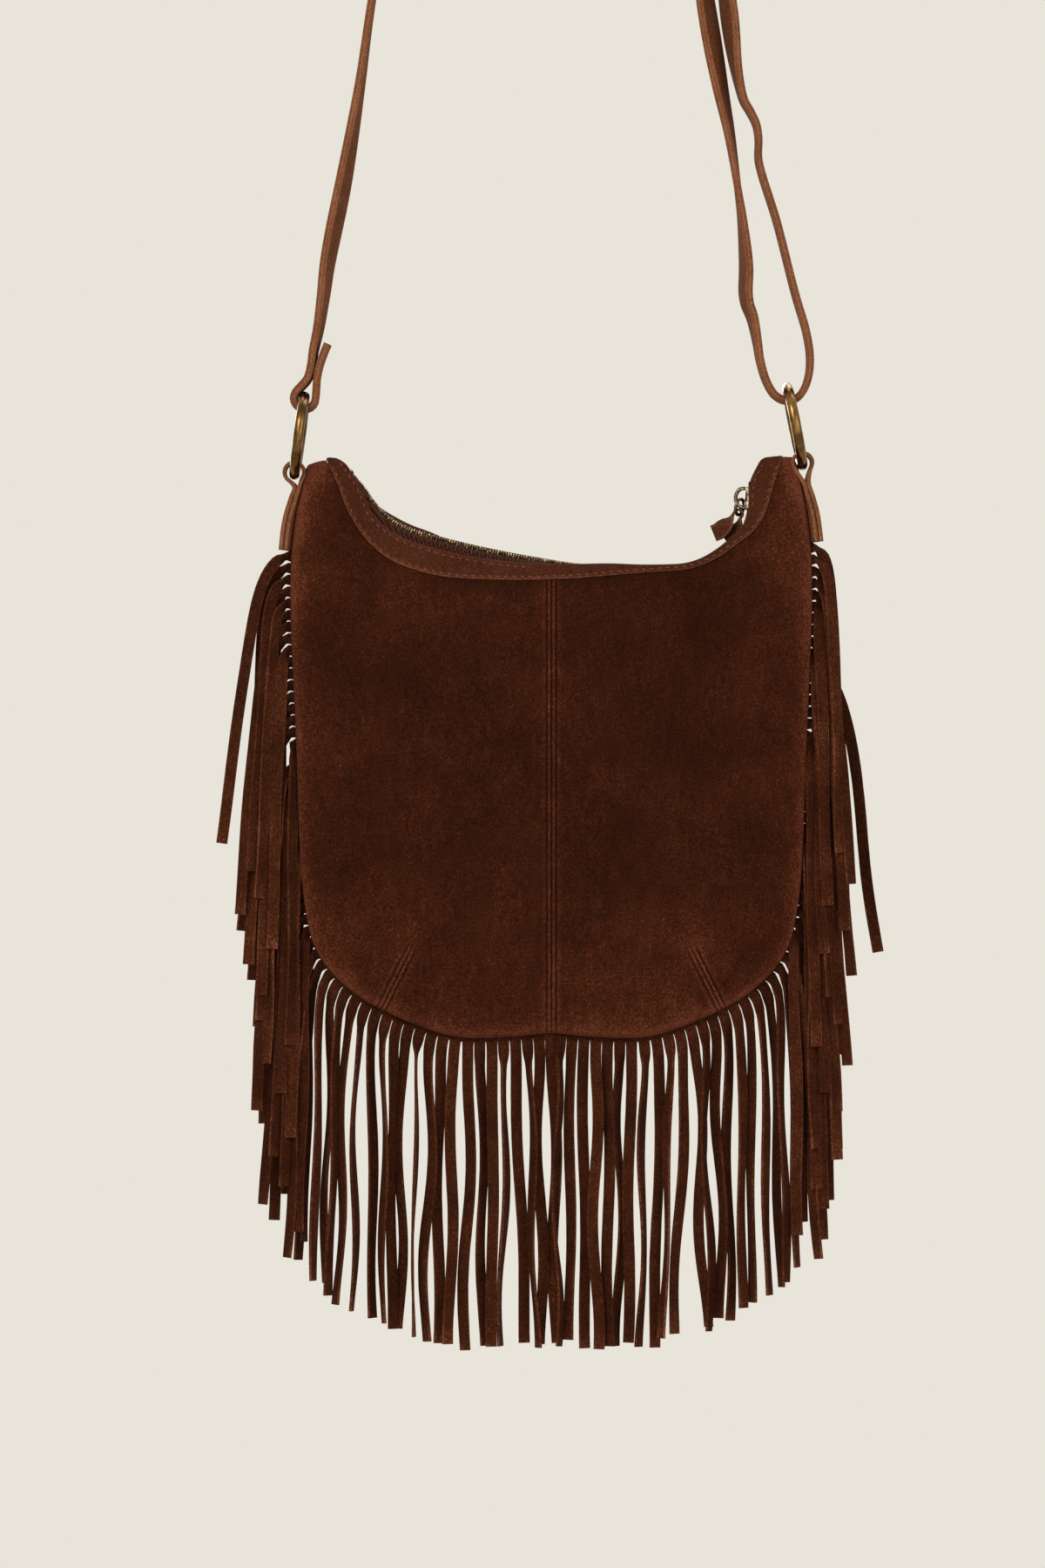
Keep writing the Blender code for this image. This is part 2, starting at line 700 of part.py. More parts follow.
def add_tab(name, side, x, z, lean, look, parent):
    """A strip folded over the ring's lower wire, both layers running down beside the body."""
    wire = ring_point(x, z, lean, -1)
    centre = wire + Vector((0, TAB_LIFT))
    radius = TAB_BORE + TAB_SUEDE / 2
    outline = OUTLINE[side]
    edge = []
    for p in outline.points[: len(outline.points) // 2]:
        if tab_low(side) <= p.y <= peak_height(side) - TAB_TOP_DROP:
            edge.append(p)
    inner = []
    outer = []
    for p in edge[::3] + [edge[-1]]:
        base = p + Vector((side * (TAB_STAND_OFF + TAB_SUEDE / 2), 0))
        inner.append(base)
        outer.append(base + Vector((side * (TAB_SUEDE + TAB_LAYER_GAP), 0)))
    fold = []
    for i in range(13):
        a = math.radians(-35 + 250 * i / 12)
        fold.append(centre + Vector((-side * radius * math.cos(a), radius * math.sin(a))))
    route = list(reversed(inner)) + fold + outer
    route = spline([tuple(p) for p in route], 1)
    mesh = ribbon(name, route, TAB_WIDTH, TAB_SUEDE)
    return add_object(name, mesh, look, parent)


# Strap: two layers of suede sewn together, one long strip.
STRAP_WIDTH = 14.0 * MM
STRAP_THICKNESS = 3.6 * MM
STRAP_BORE = 3.4 * MM
STRAP_DROP = 1.0 * MM

# Where the strap turns a face to the front: share of its length, share over which it turns, degrees.
STRAP_TWISTS = ((0.092, 0.037, -17), (0.652, 0.028, 27), (0.742, 0.018, -15), (0.918, 0.018, 24))

# Route points of the free strands in mm, read from the photograph, measured from each ring's centre.
LEFT_TURN_BACK = [(12.8, 44.1), (10.6, 37.8), (9.0, 31.5), (7.1, 25.2)]
LEFT_STRAND = [(-1.6, 22.0), (2.2, 25.8), (4.8, 31.5), (6.3, 37.8), (9.2, 51.6), (11.5, 67.2),
               (13.6, 83.6), (21.9, 125.6), (29.0, 168.0), (34.9, 210.0), (50.9, 300.6), (69.4, 405.6)]
RIGHT_STRAND = [(-65.4, 401.2), (-55.0, 292.2), (-43.1, 205.6), (-35.9, 163.6), (-31.5, 141.3),
                (-27.8, 117.0), (-24.5, 96.4), (-23.2, 77.2), (-22.8, 60.7), (-18.8, 43.7),
                (-14.2, 27.7)]
RIGHT_RETURN = [(6.2, 28.2), (6.0, 43.5), (0.0, 64.0), (-8.2, 96.4), (-16.0, 130.0), (-19.0, 145.2),
                (-23.6, 155.6), (-26.2, 164.2), (-31.5, 205.6), (-39.6, 251.2)]


def from_ring(side, points):
    """Route points that are measured from a ring's centre, in the bag's frame."""
    x = LEFT_RING_X if side < 0 else RIGHT_RING_X
    z = LEFT_RING_Z if side < 0 else RIGHT_RING_Z
    return [Vector((x, z)) + Vector(p) * MM for p in points]


# Slide on the strap, above what the photograph shows: three bars between two side plates.
SLIDE_BAR = 1.2 * MM
SLIDE_HALF_LENGTH = 10.0 * MM
SLIDE_PLATE = 2.0 * MM
SLIDE_CLEARANCE = 0.3 * MM


def slide_frame():
    """Centre, upward direction and rightward normal of the strap where the slide sits."""
    high, low = from_ring(1, RIGHT_STRAND[:2])
    t = (high - low).normalized()
    n = Vector((t.y, -t.x))
    return low, t, n


def strap_route():
    """Centre line of the strap from the sewn end at the left ring to the end at the slide."""
    left = ring_point(LEFT_RING_X, LEFT_RING_Z, LEFT_RING_LEAN, 1) - Vector((0, STRAP_DROP))
    right = ring_point(RIGHT_RING_X, RIGHT_RING_Z, RIGHT_RING_LEAN, 1) - Vector((0, STRAP_DROP))
    bend = STRAP_BORE + STRAP_THICKNESS / 2
    route = from_ring(-1, LEFT_TURN_BACK)
    for i in range(9):
        a = math.radians(0 - 180 * i / 8)
        route.append(left + Vector((bend * math.cos(a), bend * math.sin(a))))
    route += from_ring(-1, LEFT_STRAND)
    top = HANG_ARC_RADIUS + STRAP_THICKNESS / 2
    crown = Vector((0, HANG_ABOVE_BODY_BOTTOM - HANG_ARC_RADIUS))
    for i in range(11):
        a = math.radians(170 - 160 * i / 10)
        route.append(crown + Vector((top * math.cos(a), top * math.sin(a))))
    route += from_ring(1, RIGHT_STRAND)
    for i in range(9):
        a = math.radians(180 + 180 * i / 8)
        route.append(right + Vector((bend * math.cos(a), bend * math.sin(a))))
    route += from_ring(1, RIGHT_RETURN)
    low, t, n = slide_frame()
    near = STRAP_THICKNESS + SLIDE_CLEARANCE
    wrap = SLIDE_BAR + SLIDE_CLEARANCE + STRAP_THICKNESS / 2
    bar = near + wrap
    route.append(low + t * (-20 * MM) + n * (near + STRAP_THICKNESS + 1.0 * MM))
    for i in range(9):
        a = math.radians(-10 + 190 * i / 8)
        route.append(low + n * (bar + wrap * math.cos(a)) + t * (wrap * math.sin(a)))
    route.append(low + t * (-7 * MM) + n * near)
    route.append(low + t * (-16 * MM) + n * near)
    return route


def add_strap(name, look, parent):
    route = spline([tuple(p) for p in strap_route()], 1)

    def twist(f):
        return sum(math.radians(turn) * math.exp(-((f - place) / span) ** 2)
                   for place, span, turn in STRAP_TWISTS)

    mesh = ribbon(name, route, STRAP_WIDTH, STRAP_THICKNESS, twist)
    return add_object(name, mesh, look, parent)


def prism_mesh(name, outline, y0, y1):
    """A flat plate: an outline in the x-z plane carried from y0 to y1."""
    bm = bmesh.new()
    low = [bm.verts.new((p.x, y0, p.y)) for p in outline]
    high = [bm.verts.new((p.x, y1, p.y)) for p in outline]
    bm.faces.new(low)
    bm.faces.new(high)
    for i in range(len(outline)):
        j = (i + 1) % len(outline)
        bm.faces.new((low[i], low[j], high[j], high[i]))
    bmesh.ops.recalc_face_normals(bm, faces=bm.faces)
    mesh = bpy.data.meshes.new(name)
    bm.to_mesh(mesh)
    bm.free()
    return mesh


def helper(name, mesh, parent):
    made = bpy.data.objects.new(name, mesh)
    bpy.context.scene.collection.objects.link(made)
    made.parent = parent
    made.hide_render = True
    made.display_type = "WIRE"
    return made


def join_solid(base, mesh, parent, operation="UNION"):
    """Unites a helper mesh with the base object, or cuts it away."""
    other = helper(base.name + "_helper_" + str(len(base.modifiers)), mesh, parent)
    modifier = base.modifiers.new("join", "BOOLEAN")
    modifier.operation = operation
    modifier.solver = "EXACT"
    modifier.object = other
    return other


def circle(centre, radius, count=10):
    out = []
    for i in range(count):
        a = 2 * math.pi * i / count
        out.append(centre + Vector((radius * math.cos(a), radius * math.sin(a))))
    return out


def add_slide(name, look, parent):
    """Two side plates joined by three bars: the strap runs behind the outer two."""
    low, t, n = slide_frame()
    wrap = SLIDE_BAR + SLIDE_CLEARANCE + STRAP_THICKNESS / 2
    bar = STRAP_THICKNESS + SLIDE_CLEARANCE + wrap
    outer = -(STRAP_THICKNESS / 2 + SLIDE_CLEARANCE + SLIDE_BAR)
    inside = STRAP_WIDTH / 2 + SLIDE_CLEARANCE + 0.5 * MM
    rim = SLIDE_BAR + 0.5 * MM
    reach = SLIDE_HALF_LENGTH
    profile = []
    for along, off in ((-reach - rim, outer - rim), (reach + rim, outer - rim), (reach + rim, outer + rim),
                       (rim, bar + rim), (-rim, bar + rim), (-reach - rim, outer + rim)):
        profile.append(low + t * along + n * off)
    base_mesh = prism_mesh(name, profile, inside, inside + SLIDE_PLATE)
    base = add_object(name, base_mesh, look, parent)
    join_solid(base, prism_mesh(name, profile, -inside - SLIDE_PLATE, -inside), parent)
    for along, off in ((-reach, outer), (reach, outer), (0.0, bar)):
        centre = low + t * along + n * off
        half = inside + SLIDE_PLATE / 2
        join_solid(base, prism_mesh(name, circle(centre, SLIDE_BAR), -half, half), parent)
    return base


# Zip slider, its pull ring and suede pull.
SLIDER_LENGTH = 9.5 * MM
SLIDER_HALF_WIDTH = 4.3 * MM
SLIDER_HALF_HEIGHT = 2.7 * MM
SLIDER_PLATE = 1.1 * MM
SLIDER_FLANGE = 0.9 * MM
SLIDER_SLOT = 0.6 * MM
POST_LENGTH = 2.2 * MM
POST_HALF_WIDTH = 0.8 * MM
BAIL_HEIGHT = 4.6 * MM
BAIL_WIDTH = 1.6 * MM
BAIL_WIRE = 1.1 * MM
STOP_LENGTH = 2.0 * MM
STOP_REACH = 3.4 * MM


def box_mesh(name, s0, s1, y0, y1, n0, n1):
    """A block beside the zip line, following its curve."""
    bm = bmesh.new()
    steps = 3
    sections = []
    for i in range(steps + 1):
        s = s0 + (s1 - s0) * i / steps
        sections.append([bm.verts.new(place(s, y, n)) for y, n in ((y0, n0), (y1, n0), (y1, n1), (y0, n1))])
    for a, b in zip(sections, sections[1:]):
        for i in range(4):
            j = (i + 1) % 4
            bm.faces.new((a[i], a[j], b[j], b[i]))
    bm.faces.new(sections[0])
    bm.faces.new(sections[-1])
    bmesh.ops.recalc_face_normals(bm, faces=bm.faces)
    mesh = bpy.data.meshes.new(name)
    bm.to_mesh(mesh)
    bm.free()
    return mesh


def extrude_profile(name, profile, s0, s1, steps):
    """A constant cross-section (y, n) carried along the zip line."""
    bm = bmesh.new()
    sections = []
    for i in range(steps + 1):
        s = s0 + (s1 - s0) * i / steps
        sections.append([bm.verts.new(place(s, y, n)) for y, n in profile])
    wide = len(profile)
    for a, b in zip(sections, sections[1:]):
        for i in range(wide):
            j = (i + 1) % wide
            bm.faces.new((a[i], a[j], b[j], b[i]))
    bm.faces.new(sections[0])
    bm.faces.new(sections[-1])
    bmesh.ops.recalc_face_normals(bm, faces=bm.faces)
    mesh = bpy.data.meshes.new(name)
    bm.to_mesh(mesh)
    bm.free()
    return mesh


def slider_span():
    end = ZIP.length - TEETH_END + POST_LENGTH + 2 * GAP
    return end - SLIDER_LENGTH, end


def add_slider(name, look, parent):
    """Two flanged plates over and under the chain, joined at the nose, with a cast bail."""
    s0, s1 = slider_span()
    w = SLIDER_HALF_WIDTH
    h = SLIDER_HALF_HEIGHT
    f = SLIDER_FLANGE
    p = SLIDER_PLATE
    slot = SLIDER_SLOT
    upper = [(-w, slot), (-w, h), (w, h), (w, slot), (w - f, slot), (w - f, h - p), (f - w, h - p),
             (f - w, slot)]
    base = add_object(name, extrude_profile(name, upper, s0, s1, 4), look, parent)
    lower = [(y, -n) for y, n in upper]
    join_solid(base, extrude_profile(name, lower, s0, s1, 4), parent)
    post = box_mesh(name, s1 - POST_LENGTH, s1 - 0.2 * MM, -POST_HALF_WIDTH, POST_HALF_WIDTH,
                    -h + 0.3 * MM, h - 0.3 * MM)
    join_solid(base, post, parent)
    bm = bmesh.new()
    mid = (s0 + s1) / 2
    reach = SLIDER_LENGTH / 2 - 1.0 * MM
    sections = []
    for i in range(9):
        a = math.pi * i / 8
        out = []
        for r, y in ((-1, -1), (1, -1), (1, 1), (-1, 1)):
            flat = reach + r * BAIL_WIRE / 2
            high = BAIL_HEIGHT + r * BAIL_WIRE / 2
            rise = max(high * math.sin(a) ** 0.7, 0) - 0.5 * MM
            out.append(bm.verts.new(place(mid - flat * math.cos(a), y * BAIL_WIDTH / 2, h + rise)))
        sections.append(out)
    for a, b in zip(sections, sections[1:]):
        for i in range(4):
            j = (i + 1) % 4
            bm.faces.new((a[i], a[j], b[j], b[i]))
    bm.faces.new(sections[0])
    bm.faces.new(sections[-1])
    bmesh.ops.recalc_face_normals(bm, faces=bm.faces)
    mesh = bpy.data.meshes.new(name)
    bm.to_mesh(mesh)
    bm.free()
    join_solid(base, mesh, parent)
    return base


def add_stops(look, parent):
    """Crimped blocks that end the row of teeth: one at the left, two at the right."""
    made = []
    h = TOOTH_HALF_HEIGHT
    left = box_mesh("zip_end_stop", TEETH_START - GAP - STOP_LENGTH, TEETH_START - GAP, -STOP_REACH,
                    STOP_REACH, TAPE / 2 + GAP, h)
    made.append(add_object("zip_end_stop", left, look, parent))
    start = slider_span()[1] + GAP
    for name, way in (("zip_top_stop_front", -1), ("zip_top_stop_back", 1)):
        mesh = box_mesh(name, start, start + STOP_LENGTH, way * 1.2 * MM, way * STOP_REACH, TAPE / 2 + GAP, h)
        made.append(add_object(name, mesh, look, parent))
    return made


PULL_RING_RADIUS = 3.3 * MM
PULL_RING_WIRE = 0.7 * MM
PULL_RING_STRETCH = 1.45
PULL_RING_TILT = math.radians(11)
PULL_WIDTH = 8.0 * MM
PULL_NECK = 0.36
PULL_SUEDE = 1.1 * MM
PULL_BORE = 1.6 * MM


def bail_seat():
    """Where the pull ring's wire hangs inside the bail."""
    s0, s1 = slider_span()
    mid = (s0 + s1) / 2 - 1.5 * MM
    p = place(mid, 0, SLIDER_HALF_HEIGHT + BAIL_HEIGHT / 2 - 0.6 * MM)
    return Vector((p.x, p.z))


def add_pull_ring(name, look, parent):
    seat = bail_seat()
    mesh = torus(name, PULL_RING_RADIUS, PULL_RING_WIRE, 16, 6, PULL_RING_STRETCH)
    drop = Matrix.Translation((0, 0, -PULL_RING_RADIUS * PULL_RING_STRETCH))
    mesh.transform(Matrix.Rotation(PULL_RING_TILT, 4, "Y") @ drop)
    made = add_object(name, mesh, look, parent)
    made.location = Vector((seat.x, 0, seat.y))
    return made


def pull_wire():
    """Centre of the pull ring's lower wire, where the suede pull hangs."""
    reach = 2 * PULL_RING_RADIUS * PULL_RING_STRETCH
    return bail_seat() + Vector((-math.sin(PULL_RING_TILT), -math.cos(PULL_RING_TILT))) * reach


def add_pull(name, look, parent):
    """A suede strip doubled through the pull ring, its two tails curled apart."""
    wire = pull_wire()
    bend = PULL_BORE + PULL_SUEDE / 2
    centre = wire + Vector((0, PULL_BORE - PULL_RING_WIRE - 0.45 * MM))
    route = [wire + Vector(p) * MM for p in ((-12.0, -3.4), (-9.6, -5.0), (-6.6, -4.0), (-4.0, -1.6))]
    for i in range(8):
        a = math.radians(165 - 225 * i / 7)
        route.append(centre + Vector((bend * math.cos(a), bend * math.sin(a))))
    route += [wire + Vector(p) * MM for p in ((-1.4, -4.2), (-4.4, -8.2), (-7.6, -10.8), (-11.4, -11.0))]

    def shape(f):
        return PULL_NECK + (1 - PULL_NECK) * smooth((abs(f - 0.5) - 0.16) / 0.2)

    mesh = ribbon(name, spline([tuple(p) for p in route], 1), PULL_WIDTH, PULL_SUEDE, None, shape)
    return add_object(name, mesh, look, parent)


# Fringe: one band cut into strips up to a narrow heading, sewn between the panels.
FRINGE_LENGTH = 147.0 * MM
FRINGE_PITCH = 5.6 * MM
FRINGE_SLIT = 0.3 * MM
HEADING_START = 2.0 * MM
HEADING_INSIDE = 6.0 * MM
HEADING_OUTSIDE = 1.6 * MM
SIDE_STEPS = 5
BOTTOM_STEPS = 4
FRINGE_SEED = 7
SIDE_COLUMNS = (2.5 * MM, 9.5 * MM, 5.5 * MM, 13.5 * MM)
SIDE_LEAN = (math.radians(0.6), math.radians(3.8))
COLUMN_SPREAD = 1.2 * MM
CORNER_REACH = 9.0 * MM
SIDE_LAYER = 2.0 * MM
SIDE_DEPTH_GROWTH = 0.055
BOTTOM_LAYER = 2.3 * MM
CALM_LENGTH = 12.0 * MM
TURN_LENGTH = 22.0 * MM
WAVE_LENGTH = 105.0 * MM
SWAY = math.radians(6.5)
SIDE_SWAY = 0.45
SIDE_TURN = 0.6
CORNER_TURN = math.radians(57)
TURNS = (8, -24, 52, -10, 68, 18, -60, 30, -5, 74, -38, 12)
PARTINGS = ((-86.0 * MM, 2.0 * MM), (-54.0 * MM, 2.0 * MM), (-37.0 * MM, 3.0 * MM), (-21.0 * MM, 5.0 * MM),
            (12.0 * MM, 1.5 * MM), (61.0 * MM, 6.5 * MM), (96.0 * MM, 2.0 * MM))
PARTING_SPAN = 17.0 * MM
STRAYS = ((0.012, 12.0 * MM, 6.3), (0.905, 15.0 * MM, 6.3))


def fringe_edge():
    """The perimeter from the left tab's end, round the bottom, to the right tab's end."""
    low = {side: tab_low(side) - HEADING_START for side in (-1, 1)}
    left = [p for p in OUTLINE[-1].points if p.y <= low[-1] and p.x <= 0]
    right = [p for p in OUTLINE[1].points if p.y <= low[1] and p.x > 0]
    return Curve(left + list(reversed(right)))


class Strip:
    """The centre line, width direction and facing of one fringe strip."""

    def __init__(self, edge, index, count, rng):
        share = (index + 0.5) / count
        self.root = edge.at(edge.length * share)
        self.out = -edge.normal(edge.length * share)
        self.flat = smooth((abs(self.out.x) - 0.35) / 0.6)
        steep = smooth((abs(self.out.x) - 0.75) / 0.22)
        column = SIDE_COLUMNS[(index // 2) % len(SIDE_COLUMNS)] + rng.uniform(-1, 1) * COLUMN_SPREAD
        self.reach = column * steep + CORNER_REACH * (1 - steep)
        self.layer = (1 if index % 2 else -1) if self.flat > 0.35 else (index % 3) - 1
        self.wave = rng.uniform(0.25, 1) * (1 if index % 2 else -1)
        self.phase = rng.uniform(0, 2 * math.pi)
        swing = math.atan2(self.out.y, self.out.x) + math.pi / 2
        self.swing = (swing + math.pi) % (2 * math.pi) - math.pi
        turn = math.radians(TURNS[index % len(TURNS)] * rng.uniform(0.8, 1.15))
        turn *= 1 - (1 - SIDE_TURN) * self.flat
        corner = CORNER_TURN * abs(math.sin(2 * self.swing))
        self.turn = math.copysign(max(abs(turn), corner), turn)
        self.length = FRINGE_LENGTH * rng.uniform(0.985, 1.015)
        shift = 0.0
        for place, push in PARTINGS:
            gap = self.root.x - place
            shift += math.copysign(push, gap) * math.exp(-abs(gap) / PARTING_SPAN)
        self.lean = shift / FRINGE_LENGTH * (1 - self.flat)
        outward = blend(SIDE_LEAN, column / SIDE_COLUMNS[3])
        self.lean += self.flat * math.copysign(outward, self.root.x)
        for place, reach, lean in STRAYS:
            if abs(share - place) < 0.5 / count:
                self.reach = reach
                self.lean = math.copysign(math.radians(lean), self.root.x)
                self.turn = 0.0

    def direction(self, s):
        """Angle of travel in the x-z plane at length s."""
        angle = self.swing * math.exp(-1.37 * s / self.reach) - math.pi / 2
        calm = smooth(s / (2 * CALM_LENGTH))
        sway = SWAY * self.wave * (1 - (1 - SIDE_SWAY) * self.flat)
        sway *= math.sin(2 * math.pi * s / WAVE_LENGTH + self.phase)
        return angle + (sway + self.lean) * calm

    def depth_at(self, s):
        layer = SIDE_LAYER * self.flat + BOTTOM_LAYER * (1 - self.flat)
        return self.layer * (layer * smooth(s / CALM_LENGTH) + SIDE_DEPTH_GROWTH * self.flat * s)

    def sections(self, steps):
        """Pairs of points, left and right edge of the strip, from its root to its tip."""
        half = (FRINGE_PITCH - FRINGE_SLIT) / 2
        pairs = []
        p = Vector(self.root) + self.out * HEADING_OUTSIDE
        s = 0.0
        fine = 16 * steps
        step = self.length / fine
        marks = {round(fine * (k / steps) ** 1.55) for k in range(steps + 1)}
        for i in range(fine + 1):
            angle = self.direction(s)
            ahead = Vector((math.cos(angle), math.sin(angle)))
            if i in marks:
                across = Vector((-ahead.y, ahead.x))
                turn = self.turn * smooth((s - HEADING_OUTSIDE) / TURN_LENGTH)
                flat = math.cos(turn)
                wide = Vector((across.x * flat, math.sin(turn), across.y * flat))
                centre = Vector((p.x, self.depth_at(s), p.y))
                pairs.append((centre - wide * half, centre + wide * half))
            p = p + ahead * step
            s += step
        return pairs


def add_fringe(name, look, parent):
    rng = random.Random(FRINGE_SEED)
    edge = fringe_edge()
    count = round(edge.length / FRINGE_PITCH)
    strips = [Strip(edge, i, count, rng) for i in range(count)]
    verts = []
    faces = []

    def add(p):
        verts.append(p)
        return len(verts) - 1

    inner = []
    for i in range(count + 1):
        s = edge.length * i / count
        p = edge.at(s) + edge.normal(s) * HEADING_INSIDE
        inner.append(add(Vector((p.x, 0, p.y))))
    last_left = None
    for i, strip in enumerate(strips):
        pairs = strip.sections(SIDE_STEPS if strip.flat > 0.35 else BOTTOM_STEPS)
        ids = [(add(a), add(b)) for a, b in pairs]
        near, far = ids[0]
        faces.append((inner[i], near, far, inner[i + 1]))
        if last_left is not None:
            faces.append((inner[i], last_left, near))
        last_left = far
        for (a, b), (c, d) in zip(ids, ids[1:]):
            faces.append((a, c, d, b))
    mesh = bpy.data.meshes.new(name)
    mesh.from_pydata(verts, [], faces)
    shade(mesh)
    made = add_object(name, mesh, look, parent)
    return thicken(made, FRINGE_SUEDE, 0.0)


def clear_scene():
    for old in list(bpy.data.objects):
        bpy.data.objects.remove(old, do_unlink=True)


def main():
    clear_scene()
    frame = bpy.data.objects.new("bag_frame", None)
    bpy.context.scene.collection.objects.link(frame)
    frame.location = (0, 0, -HANG_ABOVE_BODY_BOTTOM)

    suede = material("body_suede", (0.055, 0.019, 0.009), 0.95)
    trim = material("strap_suede", (0.16, 0.055, 0.034), 0.93)
    fringe_look = material("fringe_suede", (0.07, 0.024, 0.012), 0.95)
    brass = material("aged_brass", (0.29, 0.18, 0.07), 0.35, 1.0)
    teeth = material("dark_brass_teeth", (0.16, 0.10, 0.05), 0.4, 1.0)
    tape = material("zip_tape_cloth", (0.045, 0.03, 0.022), 0.9)
    steel = material("dark_nickel", (0.20, 0.17, 0.14), 0.35, 1.0)

    for side, side_word in ((-1, "left"), (1, "right")):
        add_panel("front_panel_" + side_word, side, -1, suede, frame)
        add_panel("back_panel_" + side_word, side, 1, suede, frame)
    add_yoke("front_yoke", -1, suede, frame)
    add_yoke("back_yoke", 1, suede, frame)
    add_tape("zip_tape_front", -1, tape, frame)
    add_tape("zip_tape_back", 1, tape, frame)
    add_teeth("zip_teeth_front", -1, teeth, frame)
    add_teeth("zip_teeth_back", 1, teeth, frame)
    add_stops(teeth, frame)
    add_slider("zip_slider", steel, frame)
    add_pull_ring("zip_pull_ring", steel, frame)
    add_pull("zip_pull", trim, frame)
    add_ring("ring_left", LEFT_RING_X, LEFT_RING_Z, LEFT_RING_LEAN, brass, frame)
    add_ring("ring_right", RIGHT_RING_X, RIGHT_RING_Z, RIGHT_RING_LEAN, brass, frame)
    add_tab("tab_left", -1, LEFT_RING_X, LEFT_RING_Z, LEFT_RING_LEAN, trim, frame)
    add_tab("tab_right", 1, RIGHT_RING_X, RIGHT_RING_Z, RIGHT_RING_LEAN, trim, frame)
    add_strap("strap", trim, frame)
    add_slide("strap_slide", brass, frame)
    add_fringe("fringe", fringe_look, frame)


if __name__ == "__main__":
    main()
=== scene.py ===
"""Fringed suede shoulder bag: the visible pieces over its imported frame.

The bag hangs by its strap. Every shape is built in the bag's own frame, metres, with the lowest
point of the body's outline at height zero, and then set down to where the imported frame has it.
"""

from __future__ import annotations

import logging
import math
import random
from dataclasses import dataclass, field, replace
from enum import Enum
from functools import cached_property
from typing import Callable, Iterable, Sequence

import bmesh
import bpy
import numpy as np
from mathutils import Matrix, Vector, noise

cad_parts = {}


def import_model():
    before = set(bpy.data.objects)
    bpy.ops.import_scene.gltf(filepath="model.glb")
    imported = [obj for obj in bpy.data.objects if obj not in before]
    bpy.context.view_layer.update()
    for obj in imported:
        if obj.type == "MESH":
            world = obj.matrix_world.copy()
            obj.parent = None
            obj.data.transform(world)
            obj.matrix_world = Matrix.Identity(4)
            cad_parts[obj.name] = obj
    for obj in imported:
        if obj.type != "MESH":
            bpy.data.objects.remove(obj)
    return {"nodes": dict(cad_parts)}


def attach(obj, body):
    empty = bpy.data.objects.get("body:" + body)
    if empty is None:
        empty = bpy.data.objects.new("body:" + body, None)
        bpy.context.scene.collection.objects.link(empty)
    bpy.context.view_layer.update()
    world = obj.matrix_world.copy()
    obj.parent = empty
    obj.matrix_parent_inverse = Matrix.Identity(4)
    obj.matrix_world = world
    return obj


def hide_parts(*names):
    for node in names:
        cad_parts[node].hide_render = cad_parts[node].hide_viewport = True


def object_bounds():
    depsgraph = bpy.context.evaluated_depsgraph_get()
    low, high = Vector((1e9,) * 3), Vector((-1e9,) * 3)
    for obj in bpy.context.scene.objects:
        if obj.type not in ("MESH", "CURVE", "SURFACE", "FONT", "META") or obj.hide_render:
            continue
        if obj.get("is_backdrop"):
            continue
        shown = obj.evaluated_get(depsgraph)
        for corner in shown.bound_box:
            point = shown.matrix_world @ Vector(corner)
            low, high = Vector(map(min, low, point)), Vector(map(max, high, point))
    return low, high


MM = 0.001
BODY_BOTTOM_Z = -0.841
LOG = logging.getLogger("bag")

Array = np.ndarray
Numbers = np.ndarray | float
Pair = tuple[float, float]
Triple = tuple[float, float, float]
Knots = Sequence[Pair]
Points = Iterable[Sequence[float]]
Line = tuple[Array, Array]
Mesh = bpy.types.Mesh
Piece = bpy.types.Object
Tree = bpy.types.NodeTree
Node = bpy.types.Node
Socket = bpy.types.NodeSocket


class Part(Enum):
    """A choice between two parts of the bag: a direction of -1 or 1, and a plain word."""

    @property
    def word(self) -> str:
        """The part's name as it stands in the names of pieces."""
        return self.name.lower()


class Side(Part):
    """The two halves of the bag, seen from the front."""

    LEFT = -1
    RIGHT = 1


class Face(Part):
    """The two faces of the bag; the front looks towards -Y."""

    FRONT = -1
    BACK = 1


def smooth(x: Numbers) -> Numbers:
    """Eases from 0 to 1 as x goes from 0 to 1."""
    x = np.clip(x, 0.0, 1.0) if isinstance(x, Array) else max(0.0, min(1.0, x))
    return x * x * (3 - 2 * x)


def mix(a: float, b: float, f: float) -> float:
    """The value a share f of the way from a to b."""
    return a + (b - a) * f


def spline(knots: Sequence[Sequence[float]], per_span: int) -> Array:
    """Centripetal Catmull-Rom curve through its knots.

    Args:
        knots: points of two or three coordinates.
        per_span: number of points made for each span.

    Returns:
        The points, one row each.
    """
    p = np.asarray(knots, dtype=float)
    p = np.vstack([2 * p[0] - p[1], p, 2 * p[-1] - p[-2]])
    out: list[Array] = []
    for i in range(1, len(p) - 2):
        a, b, c, d = p[i - 1 : i + 3]
        t0 = 0.0
        t1 = t0 + math.sqrt(float(np.linalg.norm(b - a)))
        t2 = t1 + math.sqrt(float(np.linalg.norm(c - b)))
        t3 = t2 + math.sqrt(float(np.linalg.norm(d - c)))
        for k in range(per_span):
            t = t1 + (t2 - t1) * k / per_span
            ab = a + (b - a) * (t - t0) / (t1 - t0)
            bc = b + (c - b) * (t - t1) / (t2 - t1)
            cd = c + (d - c) * (t - t2) / (t3 - t2)
            abc = ab + (bc - ab) * (t - t0) / (t2 - t0)
            bcd = bc + (cd - bc) * (t - t1) / (t3 - t1)
            out.append(abc + (bcd - abc) * (t - t1) / (t2 - t1))
    out.append(p[-2])
    return np.array(out)


def along(knots: Knots, s: Numbers) -> Array:
    """A smooth value in metres at length s, from pairs of length and value in mm."""
    line = spline(knots, 6)
    return MM * np.interp(np.asarray(s) / MM, line[:, 0], line[:, 1])


